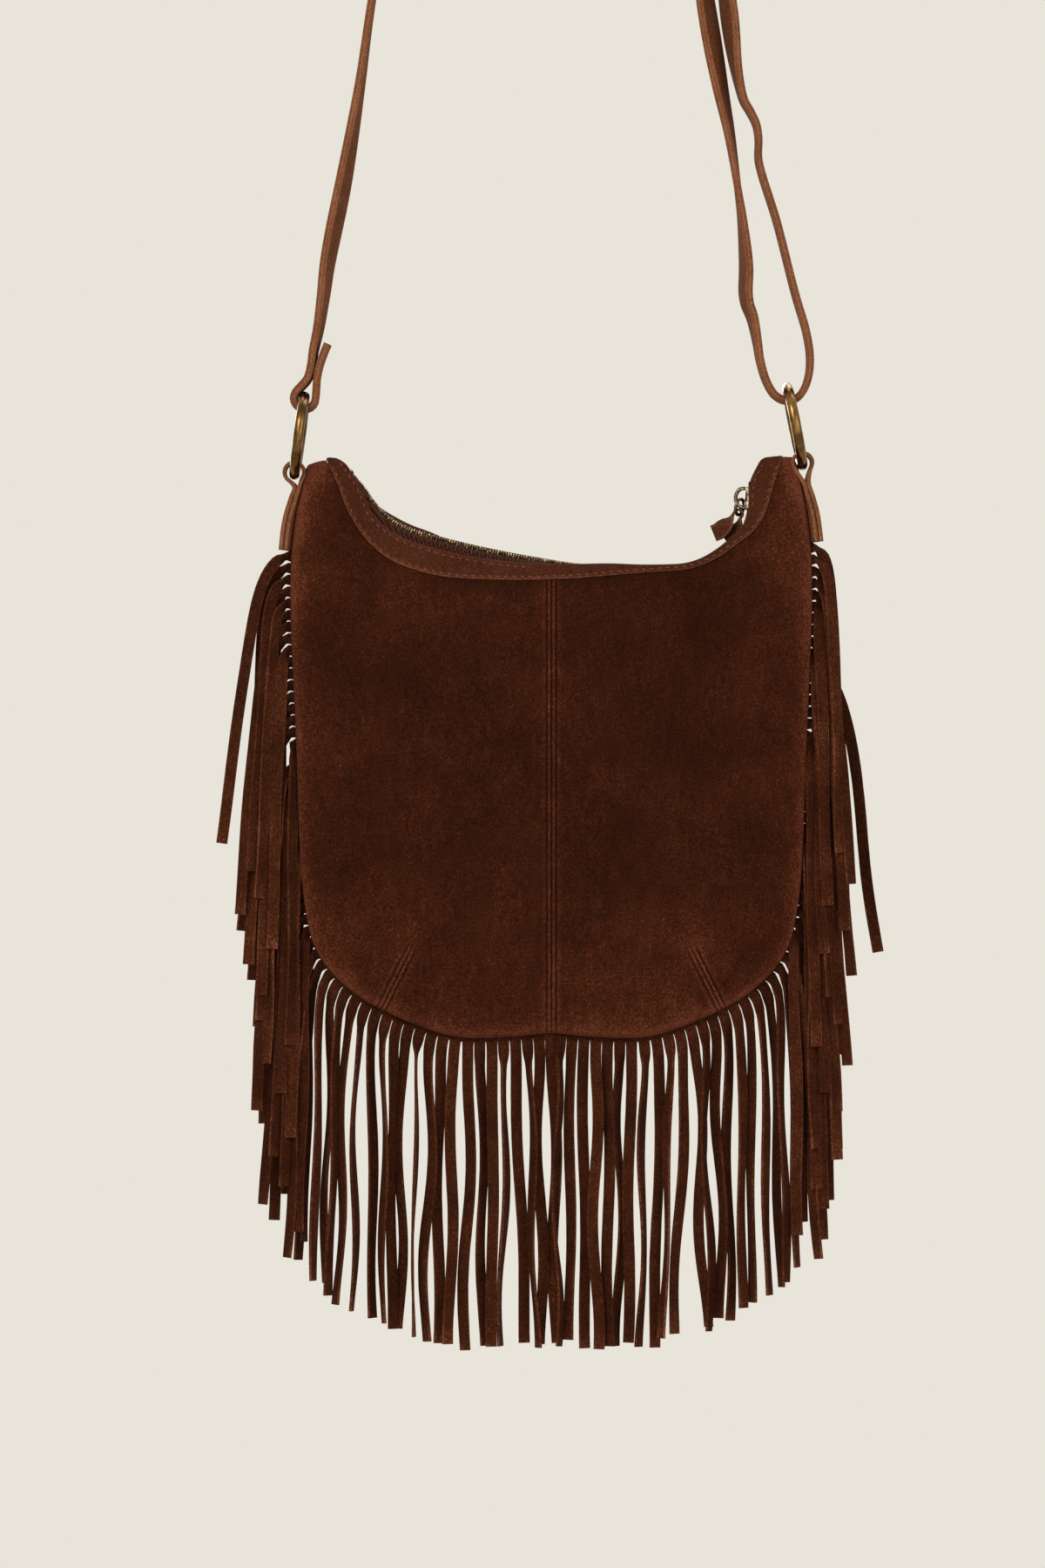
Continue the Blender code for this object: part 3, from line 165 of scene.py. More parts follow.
def unit(vectors: Array) -> Array:
    """The vectors, one a row, at length 1."""
    return vectors / np.linalg.norm(vectors, axis=-1, keepdims=True)


def run_lengths(points: Array) -> Array:
    """The length of the way from a line's first point to each of its points."""
    return np.concatenate([[0.0], np.cumsum(np.linalg.norm(np.diff(points, axis=0), axis=1))])


def read_rows(at: Numbers, places: Array, rows: Array) -> Array:
    """Rows of values read between their places."""
    return np.stack([np.interp(at, places, column) for column in rows.T], axis=-1)


def at_depth(p: Array, y: Numbers) -> Array:
    """Points of the x-z plane set at the depths y."""
    return np.stack([p[:, 0], np.broadcast_to(y, len(p)), p[:, 1]], axis=1)


class Path:
    """A polyline in the x-z plane that is read by length."""

    def __init__(self, points: Sequence[Sequence[float]] | Array) -> None:
        """Keeps the points and their running lengths."""
        self.points = np.asarray(points, dtype=float)
        self.lengths = run_lengths(self.points)
        self.length = float(self.lengths[-1])

    def at(self, s: Numbers) -> Array:
        """The points at the lengths s."""
        return read_rows(s, self.lengths, self.points)

    def tangent(self, s: Numbers) -> Array:
        """Unit directions of travel at the lengths s."""
        s = np.asarray(s, dtype=float)
        return unit(self.at(np.minimum(s + MM, self.length)) - self.at(np.maximum(s - MM, 0.0)))

    def normal(self, s: Numbers) -> Array:
        """Unit normals to the left of travel at the lengths s."""
        t = self.tangent(s)
        return np.stack([-t[..., 1], t[..., 0]], axis=-1)

    def signed(self, p: Array) -> Array:
        """Distances of points from the line, positive to the right of travel.

        Args:
            p: the points.

        Returns:
            The distances.
        """
        best = np.full(len(p), 1.0)
        cross = np.ones(len(p))
        for a, b in zip(self.points, self.points[1:]):
            run = b - a
            f = np.clip(((p - a) @ run) / (run @ run), 0, 1)
            gap = np.linalg.norm(a + f[:, None] * run - p, axis=1)
            nearer = gap < best - 1e-9
            best = np.where(nearer, gap, best)
            here = run[0] * (p[:, 1] - a[1]) - run[1] * (p[:, 0] - a[0])
            cross = np.where(nearer, here, cross)
        return -np.copysign(best, cross)

    def distance(self, p: Array) -> Array:
        """Distances of points from the line."""
        return np.abs(self.signed(p))


def compass(angles: Array) -> Array:
    """Unit directions at the angles given, one row each."""
    return np.stack([np.cos(angles), np.sin(angles)], axis=1)


def arc(centre: Pair, radius: float, start: float, turn: float, step: float) -> Array:
    """Points along a circle from one angle through a turn, in steps of about the size given."""
    count = max(2, round(abs(turn) / step))
    return np.array(centre) + radius * compass(start + turn * np.arange(count + 1) / count)


def to_frame(points: Points) -> list[Triple]:
    """Points (x, y, height over the body's bottom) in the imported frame."""
    return [(float(p[0]), float(p[1]), float(p[2]) + BODY_BOTTOM_Z) for p in points]


def new_object(name: str, data: bpy.types.ID) -> Piece:
    """Puts a mesh, a lamp or a camera into the scene as an object at the origin."""
    made = bpy.data.objects.new(name, data)
    bpy.context.scene.collection.objects.link(made)
    return made


def new_mesh(name: str, points: Points, faces: Sequence[Sequence[int]]) -> Mesh:
    """A smooth-shaded mesh.

    Args:
        name: its name.
        points: its points (x, y, height over the body's bottom).
        faces: its faces.

    Returns:
        The mesh.
    """
    mesh = bpy.data.meshes.new(name)
    mesh.from_pydata(to_frame(points), [], [tuple(f) for f in faces])
    mesh.polygons.foreach_set("use_smooth", [True] * len(mesh.polygons))
    mesh.update()
    return mesh


def set_values(mesh: Mesh, name: str, values: Sequence[float]) -> None:
    """Stores one number for each point of a mesh, for its material to read."""
    layer = mesh.attributes.new(name, "FLOAT", "POINT")
    layer.data.foreach_set("value", np.asarray(values, dtype=np.float32))


def grid_faces(rows: int, columns: int, start: int = 0, flip: bool = False) -> list[tuple[int, ...]]:
    """Quads of a grid of points that are stored row after row.

    Args:
        rows: the number of rows.
        columns: the number of points in a row.
        start: the number of the grid's first point.
        flip: whether the quads face the other way.

    Returns:
        The quads.
    """
    out: list[tuple[int, ...]] = []
    for i in range(rows - 1):
        for j in range(columns - 1):
            a = start + i * columns + j
            out.append((a, a + 1, a + columns + 1, a + columns))
    return [quad[::-1] for quad in out] if flip else out


def tube_faces(rows: int, columns: int, closed: bool = False) -> list[tuple[int, ...]]:
    """Faces round a tube of points that are stored ring after ring.

    Args:
        rows: the number of rings.
        columns: the number of points in a ring.
        closed: whether the tube runs back into itself; if not, both ends are capped.

    Returns:
        The faces.
    """
    out: list[tuple[int, ...]] = []
    for i in range(rows if closed else rows - 1):
        a, b = i * columns, (i + 1) % rows * columns
        for k in range(columns):
            j = (k + 1) % columns
            out.append((a + k, a + j, b + j, b + k))
    if not closed:
        last = (rows - 1) * columns
        out.append(tuple(reversed(range(columns))))
        out.append(tuple(range(last, last + columns)))
    return out


def outward(mesh: Mesh) -> Mesh:
    """Turns a closed mesh's faces to look outwards.

    Args:
        mesh: the mesh.

    Returns:
        The same mesh.
    """
    bm = bmesh.new()
    bm.from_mesh(mesh)
    bmesh.ops.recalc_face_normals(bm, faces=bm.faces)
    bm.to_mesh(mesh)
    bm.free()
    return mesh


def lofted(name: str, sections: Sequence[Sequence[Sequence[float]]]) -> Mesh:
    """A closed solid through cross-sections that have as many points each."""
    points = [p for section in sections for p in section]
    return outward(new_mesh(name, points, tube_faces(len(sections), len(sections[0]))))


def rounded_square(count: int, power: float) -> list[Pair]:
    """Points round a shape of half width 1.

    Args:
        count: the number of points.
        power: 0 for a circle, 1 for a square, between them for soft corners.

    Returns:
        The points.
    """
    out = []
    for k in range(count):
        a = 2 * math.pi * (k + 0.5) / count
        c, s = math.cos(a), math.sin(a)
        full = max(abs(c), abs(s)) ** power
        out.append((c / full, s / full))
    return out


def baked(piece: Piece) -> Piece:
    """Turns a piece's modifiers into plain mesh and takes them off.

    Args:
        piece: the piece.

    Returns:
        The same piece.
    """
    graph = bpy.context.evaluated_depsgraph_get()
    mesh = bpy.data.meshes.new_from_object(
        piece.evaluated_get(graph), preserve_all_data_layers=True, depsgraph=graph)
    mesh.name = piece.name
    piece.modifiers.clear()
    piece.data = mesh
    return piece


@dataclass(frozen=True)
class BagForm:
    """The bag's shape: outline, zip line, yoke and half depth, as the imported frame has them."""

    half_width: float = 124.5 * MM
    peaks: Pair = (277.0 * MM, 279.5 * MM)
    peak_inner: Pair = (109.0 * MM, 111.0 * MM)
    peak_outer: float = 117.0 * MM
    peak_shoulder: float = 3.4 * MM
    edge_half_depth: float = 2.4 * MM
    dish_depth: float = 12.0 * MM
    dish_run: float = 15.0 * MM
    seam_half_depth: float = 11.0 * MM
    seam_run: float = 22.0 * MM
    tuck_slope: float = 0.35
    yoke_suede: float = 1.5 * MM
    yoke_gap: float = 0.75 * MM
    mouth_start: float = 6.6 * MM
    mouth_end: float = 10.8 * MM
    start_round: float = 6.0 * MM
    end_round: float = 3.2 * MM
    seam_knots: Knots = (
        (-4, 14.5), (6, 11.3), (20, 12.6), (40, 16.3), (60, 16.8), (90, 11.9), (120, 6.6), (140, 3.4),
        (155, 1.2), (170, -0.2), (182, -0.6), (194, -0.4), (204, 1.0), (214, 4.7), (224, 7.9),
        (234, 10.8), (248, 15.4))
    front_crest: Knots = (
        (-7, -8.0), (-1, -5.0), (5, -2.5), (11, -1.3), (16, -1.8), (23, -3.3), (40, -4.2), (60, -4.6),
        (90, -3.0), (120, 0.3), (140, 2.4), (155, 2.7), (170, 3.2), (182, 3.7), (194, 4.0), (204, 3.2),
        (214, 0.8), (234, 0.6), (248, -5.6))
    back_crest: Knots = (
        (-7, -8.0), (-1, -5.0), (6, -2.8), (11, -1.8), (16, -0.6), (22, 1.2), (34, 3.2), (52, 2.8),
        (64, 0.8), (90, 0.4), (120, 0.7), (140, 1.6), (155, 2.5), (170, 3.2), (182, 3.7), (194, 3.8),
        (204, 2.4), (214, 0.6), (234, 0.6), (248, -5.6))

    @cached_property
    def outline(self) -> dict[Side, Path]:
        """The perimeter seam of each half, from its peak down to the bottom centre."""
        return {side: self._half_outline(side) for side in Side}

    def _half_outline(self, side: Side) -> Path:
        """The perimeter seam of one half."""
        k = 0 if side is Side.LEFT else 1
        inner = self.peak_inner[k] / MM
        peak = self.peaks[k] / MM
        outer = self.peak_outer / MM
        wide = self.half_width / MM
        knots = [
            (inner, peak - 1.2), ((inner + outer) / 2, peak), (outer, peak - self.peak_shoulder / MM),
            (wide - 4.0, (peak + 226.0) / 2 + 8.0), (wide, 226.0), (122.0, 142.0), (118.0, 64.0),
            (111.5, 40.0), (96.0, 22.5), (75.0, 10.5), (46.0, 0.6), (23.0, 0.42), (0.0, 2.5),
        ]
        points = spline(knots, 10) * MM
        return Path(np.stack([side.value * points[:, 0], np.maximum(points[:, 1], 0.0)], axis=1))

    @cached_property
    def zip_path(self) -> Path:
        """The zip's line from its left-hand end to its right-hand end."""
        right = np.array((60.0, 260.0)) * MM
        big, small, end = 440.0 * MM, 40.0 * MM, 36.0 * MM
        first = -math.radians(90)
        lean = first - math.radians(16.5)
        middle = right + (big - end) * np.array((-math.cos(first), -math.sin(first)))
        left = middle + (big - small) * np.array((math.cos(lean), math.sin(lean)))
        turn = math.radians(65)
        parts = [
            arc(left, small, lean - turn, turn, math.radians(1.5)),
            arc(middle, big, lean, math.radians(16.5), math.radians(0.3))[1:],
            arc(right, end, first, math.radians(90), math.radians(1.5))[1:],
        ]
        points = np.vstack(parts)
        return Path(np.vstack([points, points[-1] + (0, 9.0 * MM)]))

    @cached_property
    def mouth(self) -> Path:
        """The zip's line carried on at both ends, up to the tops of the peaks."""
        points = self.zip_path.points
        before = points[0] - points[1]
        before = points[0] + before / np.linalg.norm(before) * self.mouth_start
        return Path(np.vstack([before, points, points[-1] + (0, self.mouth_end)]))

    @property
    def span(self) -> Pair:
        """Lengths on the zip line at which the yoke starts and ends."""
        return 0.2 * MM - self.mouth_start, self.zip_path.length + self.mouth_end - 0.2 * MM

    def mouth_point(self, s: Numbers, n: Numbers) -> Array:
        """Points at length s on the zip line, n to its inner side."""
        m = np.asarray(s) + self.mouth_start
        return self.mouth.at(m) + self.mouth.normal(m) * np.asarray(n)[..., None]

    def seam_distance(self, s: Numbers) -> Array:
        """How far the yoke's seam lies outside the zip line."""
        return along(self.seam_knots, s)

    def crest(self, s: Numbers, face: Face) -> Array:
        """How far the yoke's crest lies inside the zip line."""
        return along(self.front_crest if face is Face.FRONT else self.back_crest, s)

    def fullness(self, s: Numbers) -> Array:
        """The yoke's share of its full height: 1 along the zip, rounding off to 0 at its two ends."""
        start, end = self.span
        left = np.clip((start + self.start_round - s) / self.start_round, 0, 1)
        right = np.clip((s - end + self.end_round) / self.end_round, 0, 1)
        return (1 - left ** 2.2) ** 0.5 * (1 - right ** 2.6) ** 0.4

    @cached_property
    def seam(self) -> Path:
        """The line where the panels meet the yoke."""
        s = np.linspace(*self.span, 121)
        return Path(self.mouth_point(s, -self.seam_distance(s)))

    def rim(self, p: Array) -> Array:
        """Distances of points from the body's perimeter."""
        return np.minimum(self.outline[Side.LEFT].distance(p), self.outline[Side.RIGHT].distance(p))

    def half_depth(self, p: Array) -> Array:
        """Half the body's depth, over the panels' outer surface, at points of the x-z plane.

        Args:
            p: points of the x-z plane.

        Returns:
            The half depths.
        """
        edge = self.edge_half_depth + self.dish_depth * (1 - np.exp(-self.rim(p) / self.dish_run))
        full = self.edge_half_depth + self.dish_depth
        below = self.seam.signed(p)
        under = self.seam_half_depth + (full - self.seam_half_depth) * (1 - np.exp(-below / self.seam_run))
        lap = self.seam_half_depth + self.tuck_slope * below
        mouth = np.where(below > 0, under, lap)
        edge = edge + np.where(below > 0, 0.0, self.tuck_slope * below)
        soft = 1.5 * MM
        meet = soft * np.log(1 + np.exp(-np.abs(edge - mouth) / soft))
        return np.minimum(edge, mouth) - meet + soft * 0.2

    def stand_off(self, p: Array, distance: float) -> Array:
        """Half depth of a sheet that lies outside the panels.

        Args:
            p: points of the x-z plane.
            distance: the sheet's distance from the panels, square to their surface.

        Returns:
            The half depth at each point.
        """
        step = 0.5 * MM
        across = self.half_depth(p + (step, 0)) - self.half_depth(p - (step, 0))
        up = self.half_depth(p + (0, step)) - self.half_depth(p - (0, step))
        slope = np.minimum(np.hypot(across, up) / (2 * step), 1.2)
        return self.half_depth(p) + distance * np.sqrt(1 + slope * slope)


FORM = BagForm()


def linear(hex_colour: str) -> tuple[float, float, float, float]:
    """A colour written as sRGB hex, in the linear values that shaders take.

    Args:
        hex_colour: the colour as sRGB hex.

    Returns:
        Red, green, blue and alpha.
    """
    out = []
    for k in (0, 2, 4):
        c = int(hex_colour.lstrip("#")[k : k + 2], 16) / 255
        out.append(c / 12.92 if c <= 0.04045 else ((c + 0.055) / 1.055) ** 2.4)
    return (out[0], out[1], out[2], 1.0)


def feed(tree: Tree, node: Node, inputs: dict) -> None:
    """Sets a node's inputs.

    Args:
        tree: the node tree.
        node: the node.
        inputs: socket name or number to a value, to the socket that feeds it, or to a node whose
            first output feeds it.
    """
    for key, value in inputs.items():
        if isinstance(value, Node):
            value = value.outputs[0]
        if isinstance(value, Socket):
            tree.links.new(value, node.inputs[key])
        else:
            node.inputs[key].default_value = value


def add_node(tree: Tree, kind: str, inputs: dict | None = None,
             **settings: object) -> Node:
    """Adds a node.

    Args:
        tree: the node tree.
        kind: the node's type name.
        inputs: what feed() takes.
        settings: the node's own properties.

    Returns:
        The node.
    """
    made = tree.nodes.new(kind)
    for name, value in settings.items():
        setattr(made, name, value)
    feed(tree, made, inputs or {})
    return made


def new_material(name: str) -> tuple[bpy.types.Material, Tree, Node]:
    """An empty node material with its Principled shader wired to the output."""
    made = bpy.data.materials.new(name)
    made.use_nodes = True
    tree = made.node_tree
    tree.nodes.clear()
    shader = add_node(tree, "ShaderNodeBsdfPrincipled")
    add_node(tree, "ShaderNodeOutputMaterial", {"Surface": shader})
    return made, tree, shader


def set_ramp(node: Node, stops: Sequence[tuple[float, str]]) -> None:
    """Gives a Color Ramp node its stops.

    Args:
        node: the node.
        stops: each stop's place and hex colour.
    """
    ramp = node.color_ramp
    while len(ramp.elements) < len(stops):
        ramp.elements.new(0.5)
    for element, (place, colour) in zip(ramp.elements, stops):
        element.position = place
        element.color = linear(colour)


@dataclass(frozen=True)
class SuedeFinish:
    """Split cowhide, buffed to a short nap: matt, mottled where the nap lies two ways."""

    name: str
    deep: str
    body: str
    brushed: str
    # The palest tone, reached by raw and rubbed edges and by painted highlights.
    worn: str
    nap_patch: float = 38 * MM
    brush_mark: float = 3.5 * MM
    fibre: float = 1.0 * MM
    mottle: float = 0.4
    brushed_mottle: float = 0.28
    grain: float = 0.9
    relief: float = 0.22
    seam_reach: float = 5 * MM
    lines: tuple[tuple[float, float, float, float], ...] = ()

    def build(self) -> bpy.types.Material:
        """Makes the material: nap patches, brush marks and fibre over a warm brown."""
        made, tree, shader = new_material(self.name)
        place = add_node(tree, "ShaderNodeTexCoord").outputs["Object"]
        patch = add_node(tree, "ShaderNodeTexNoise", {
            "Vector": place, "Scale": 1 / self.nap_patch, "Detail": 3.0, "Roughness": 0.55,
            "Distortion": 0.6})
        slant = add_node(tree, "ShaderNodeMapping", {
            "Vector": place, "Rotation": (0, 0.5, 0), "Scale": (1, 1, 0.4)})
        brush = add_node(tree, "ShaderNodeTexNoise", {
            "Vector": slant, "Scale": 1 / self.brush_mark, "Detail": 4.0, "Roughness": 0.65})
        fibre = add_node(tree, "ShaderNodeTexNoise", {
            "Vector": place, "Scale": 1 / self.fibre, "Detail": 2.0, "Roughness": 0.7})
        wear = add_node(tree, "ShaderNodeAttribute", attribute_name="wear")
        level = 0.5 - 0.5 * (self.mottle + self.brushed_mottle + self.grain)
        total = add_node(tree, "ShaderNodeMath", {0: patch, 1: self.mottle, 2: level},
                         operation="MULTIPLY_ADD")
        for source, weight in ((brush, self.brushed_mottle), (fibre, self.grain)):
            total = add_node(tree, "ShaderNodeMath", {0: source, 1: weight, 2: total},
                             operation="MULTIPLY_ADD")
        # This attribute lightens or darkens the colour: pale raw edges, and painted light laid on by the
        # pieces (highlights, sheen and shadows).
        total = add_node(tree, "ShaderNodeMath", {0: wear.outputs["Fac"], 1: 0.42, 2: total},
                         operation="MULTIPLY_ADD")
        seams = self._seams(tree, place)
        for shape in seams:
            total = add_node(tree, "ShaderNodeMath", {0: shape, 1: total}, operation="ADD")
        tone = add_node(tree, "ShaderNodeValToRGB", {"Fac": total})
        set_ramp(tone, ((0.28, self.deep), (0.5, self.body), (0.7, self.brushed), (0.96, self.worn)))
        height = add_node(tree, "ShaderNodeMath", {0: brush, 1: 0.6, 2: fibre},
                          operation="MULTIPLY_ADD")
        bump = add_node(tree, "ShaderNodeBump", {
            "Height": height, "Strength": 1.0, "Distance": self.relief * MM})
        for shape in seams:
            bump = add_node(tree, "ShaderNodeBump", {
                "Height": shape, "Strength": 1.0, "Distance": 2.0 * MM, "Normal": bump})
        feed(tree, shader, {
            "Base Color": tone, "Normal": bump, "Roughness": 0.95, "Specular IOR Level": 0.06,
            "Sheen Weight": 0.1, "Sheen Roughness": 0.45, "Sheen Tint": linear(self.worn)})
        return made

    def _seams(self, tree: Tree, place: Socket) -> list[Node]:
        """Lines sewn through the suede, drawn in at the stitches: a painted highlight on the ridge beside
        the join and painted shade in the groove at the stitches.

        Args:
            tree: the node tree.
            place: the point that is shaded.

        Returns:
            A height for each line.
        """
        made = []
        for x0, z0, x1, z1 in self.lines:
            a = Vector((x0, 0, z0 + BODY_BOTTOM_Z))
            run = Vector((x1 - x0, 0, z1 - z0))
            across = Vector((-run.z, 0, run.x)).normalized()
            rel = add_node(tree, "ShaderNodeVectorMath", {0: place, 1: a}, operation="SUBTRACT")
            off = add_node(tree, "ShaderNodeVectorMath", {0: rel, 1: across},
                           operation="DOT_PRODUCT")
            on = add_node(tree, "ShaderNodeVectorMath", {0: rel, 1: run / run.length_squared},
                          operation="DOT_PRODUCT")
            gap = add_node(tree, "ShaderNodeMath", {0: off.outputs["Value"]}, operation="ABSOLUTE")
            share = add_node(tree, "ShaderNodeMath", {0: gap, 1: 1 / self.seam_reach},
                             operation="MULTIPLY", use_clamp=True)
            # These heights also colour the suede: a painted highlight on the ridge, painted shade in the
            # stitch groove.
            shape = add_node(tree, "ShaderNodeFloatCurve", {"Value": share})
            curve = shape.mapping.curves[0]
            curve.points[0].location, curve.points[-1].location = (0.0, 0.0), (1.0, 0.5)
            for at, height in ((0.08, 0.58), (0.3, 0.68), (0.42, 0.34), (0.58, 0.56)):
                curve.points.new(at, height)
            shape.mapping.update()
            level = add_node(tree, "ShaderNodeMath", {0: shape, 1: 0.5}, operation="SUBTRACT")
            fade = add_node(tree, "ShaderNodeMapRange", {
                "Value": on.outputs["Value"], "From Min": -0.08, "From Max": 0.08})
            part = add_node(tree, "ShaderNodeMath", {0: level, 1: fade},
                            operation="MULTIPLY")
            made.append(part)
        return made


@dataclass(frozen=True)
class MetalFinish:
    """Plated zinc casting: polished, then toned, so that the hollows stay dark."""

    name: str
    bright: str
    dull: str
    shadow: str
    roughness: float = 0.32
    blotch: float = 5 * MM
    scratch: float = 0.7 * MM
    scratch_share: float = 0.35

    def build(self) -> bpy.types.Material:
        """Makes the material: toned blotches, fine scratches and an uneven polish."""
        made, tree, shader = new_material(self.name)
        place = add_node(tree, "ShaderNodeTexCoord").outputs["Object"]
        blotch = add_node(tree, "ShaderNodeTexNoise", {
            "Vector": place, "Scale": 1 / self.blotch, "Detail": 4.0, "Roughness": 0.6, "Distortion": 0.4})
        drawn = add_node(tree, "ShaderNodeMapping", {"Vector": place, "Scale": (1, 0.25, 1)})
        scratch = add_node(tree, "ShaderNodeTexNoise", {
            "Vector": drawn, "Scale": 1 / self.scratch, "Detail": 3.0, "Roughness": 0.7})
        total = add_node(tree, "ShaderNodeMath", {
            0: scratch, 1: self.scratch_share, 2: -0.5 * self.scratch_share},
            operation="MULTIPLY_ADD")
        total = add_node(tree, "ShaderNodeMath", {0: blotch, 1: total}, operation="ADD")
        tone = add_node(tree, "ShaderNodeValToRGB", {"Fac": total})
        set_ramp(tone, ((0.3, self.shadow), (0.47, self.dull), (0.66, self.bright)))
        rough = add_node(tree, "ShaderNodeMapRange", {
            "Value": total, "From Min": 0.3, "From Max": 0.7,
            "To Min": self.roughness + 0.16, "To Max": self.roughness - 0.06})
        bump = add_node(tree, "ShaderNodeBump", {
            "Height": total, "Strength": 0.5, "Distance": 0.05 * MM})
        feed(tree, shader, {"Base Color": tone, "Roughness": rough, "Normal": bump, "Metallic": 1.0})
        return made


@dataclass(frozen=True)
class ThreadFinish:
    """Bonded polyester sewing thread: a twisted cord with a slight lustre."""

    name: str
    light: str
    dark: str

    def build(self) -> bpy.types.Material:
        """Makes the material; the twist is drawn coarse enough to show."""
        made, tree, shader = new_material(self.name)
        place = add_node(tree, "ShaderNodeTexCoord").outputs["Object"]
        turned = add_node(tree, "ShaderNodeMapping", {"Vector": place, "Rotation": (0, 0.6, 0)})
        twist = add_node(tree, "ShaderNodeTexWave", {
            "Vector": turned, "Scale": 1 / (3 * MM), "Distortion": 1.5})
        tone = add_node(tree, "ShaderNodeValToRGB", {"Fac": twist.outputs["Fac"]})
        set_ramp(tone, ((0.1, self.dark), (0.8, self.light)))
        feed(tree, shader, {"Base Color": tone, "Roughness": 0.6, "Specular IOR Level": 0.15})
        return made


@dataclass(frozen=True)
class TapeFinish:
    """Woven polyester zip tape: a herringbone of fine ribs."""

    name: str
    light: str
    dark: str
    rib: float = 0.9 * MM

    def build(self) -> bpy.types.Material:
        """Makes the material from two slanting waves."""
        made, tree, shader = new_material(self.name)
        place = add_node(tree, "ShaderNodeTexCoord").outputs["Object"]
        waves = []
        for lean in (0.7, -0.7):
            turned = add_node(tree, "ShaderNodeMapping", {"Vector": place, "Rotation": (0, lean, lean)})
            waves.append(add_node(tree, "ShaderNodeTexWave", {
                "Vector": turned, "Scale": 0.314 / self.rib, "Distortion": 0.6}))
        weave = add_node(tree, "ShaderNodeMath", {0: waves[0].outputs["Fac"], 1: waves[1].outputs["Fac"]},
                         operation="MULTIPLY")
        tone = add_node(tree, "ShaderNodeValToRGB", {"Fac": weave})
        set_ramp(tone, ((0.1, self.dark), (0.7, self.light)))
        bump = add_node(tree, "ShaderNodeBump", {
            "Height": weave, "Strength": 0.7, "Distance": 0.15 * MM})
        feed(tree, shader, {
            "Base Color": tone, "Normal": bump, "Roughness": 0.9, "Specular IOR Level": 0.08})
        return made


class Finish(Enum):
    """The bag's finishes, built once and shared."""

    # Split hide buffed to a nap that lies flat: deep brown panels, with a painted highlight along the rims
    # and lighter towards the peaks.
    BODY = SuedeFinish("body_suede_nap", "#1c0802", "#2a1005", "#3d1b0c", "#643524",
                       lines=((0.0, 0.0, 0.0, 224 * MM),
                              (-67.5 * MM, 42 * MM, -81.5 * MM, 14 * MM),
                              (67.5 * MM, 42 * MM, 81.5 * MM, 14 * MM)))
    # The same hide with the nap the other way: drawn redder and a shade lighter as a painted sheen for the
    # light on the turned nap, so the bands stand out.
    YOKE = SuedeFinish("yoke_suede_nap", "#301509", "#402013", "#4f2b1c", "#744533", mottle=0.3)
    # Hide cut into strips with a knife: dark faces between raw edges that catch the light.
    FRINGE = SuedeFinish("fringe_suede_cut", "#1e0a03", "#311509", "#442110", "#714432",
                         nap_patch=30 * MM)
    # Hide brushed up by hands and hardware: the palest, warmest suede of the bag.
    STRAP = SuedeFinish("strap_suede_brushed", "#43210f", "#5b341f", "#6e452d", "#8b5d45",
                        nap_patch=25 * MM, mottle=0.3)
    # A thin offcut, handled and curled: blotched in small patches.
    PULL = SuedeFinish("pull_suede_curled", "#2b1409", "#442516", "#583322", "#84573f", nap_patch=9 * MM)
    # Cast zinc plated in antique brass, tumbled: a soft yellow gleam over brown.
    BRASS = MetalFinish("antique_brass_cast", "#8d6c3e", "#614726", "#3a2814", roughness=0.2,
                        blotch=11 * MM, scratch_share=0.12)
    # Zip teeth in the same plating, brushed: bright crowns over near-black gaps.
    TEETH = MetalFinish("zip_teeth_antique_brass", "#9d8258", "#4c3820", "#170f08", roughness=0.36,
                        blotch=3 * MM)
    # Cast zinc plated in dark nickel: grey highlights on nearly black hollows.
    NICKEL = MetalFinish("dark_nickel_cast", "#b3a48e", "#5a4a3a", "#17100a", roughness=0.24, blotch=3 * MM)
    # Bonded polyester thread, bright on the bands, dull on the panels and dark in the darts.
    THREAD = ThreadFinish("thread_bonded_brown", "#7d4c37", "#522c1c")
    PANEL_THREAD = ThreadFinish("thread_bonded_dull", "#744636", "#4c291a")
    DART_THREAD = ThreadFinish("thread_bonded_dark", "#3a1c10", "#1f0d06")
    # Painted shade: dark dots that stand in for the shade inside the needle's holes.
    HOLE = ThreadFinish("needle_hole_pressed", "#1c0b05", "#120602")
    # Woven polyester: a matt brown herringbone.
    TAPE = TapeFinish("zip_tape_woven", "#4c2c1d", "#231008")

    @property
    def material(self) -> bpy.types.Material:
        """The finish's material, made the first time that it is asked for."""
        return bpy.data.materials.get(self.value.name) or self.value.build()


def dress(piece: Piece, finish: Finish) -> Piece:
    """Gives a piece one finish all over.

    Args:
        piece: the piece.
        finish: its finish.

    Returns:
        The same piece.
    """
    if not piece.data.materials:
        piece.data.materials.append(finish.material)
    for slot in piece.material_slots:
        slot.material = finish.material
    return piece


def thickened(name: str, mesh: Mesh, finish: Finish, thickness: float,
              offset: float = -1.0) -> Piece:
    """A piece cut from sheet material.

    Args:
        name: the piece's name.
        mesh: the sheet's outer surface.
        finish: the sheet's finish.
        thickness: the sheet's thickness.
        offset: -1 to thicken inwards, 0 to thicken both ways.

    Returns:
        The piece, a closed solid.
    """
    piece = dress(new_object(name, mesh), finish)
    body = piece.modifiers.new("thickness", "SOLIDIFY")
    body.thickness = thickness
    body.offset = offset
    return baked(piece)


def seated(piece: Piece, body: str, *nodes: str) -> Piece:
    """Sets a piece on the body that it moves with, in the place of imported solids.

    Args:
        piece: the piece.
        body: the body's name.
        nodes: the solids that the piece stands for.

    Returns:
        The piece.
    """
    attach(piece, body)
    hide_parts(*nodes)
    return piece


@dataclass(frozen=True)
class Row:
    """Places in a row, each with the way that it runs and the way that it faces."""

    points: Array
    heading: Array
    facing: Array


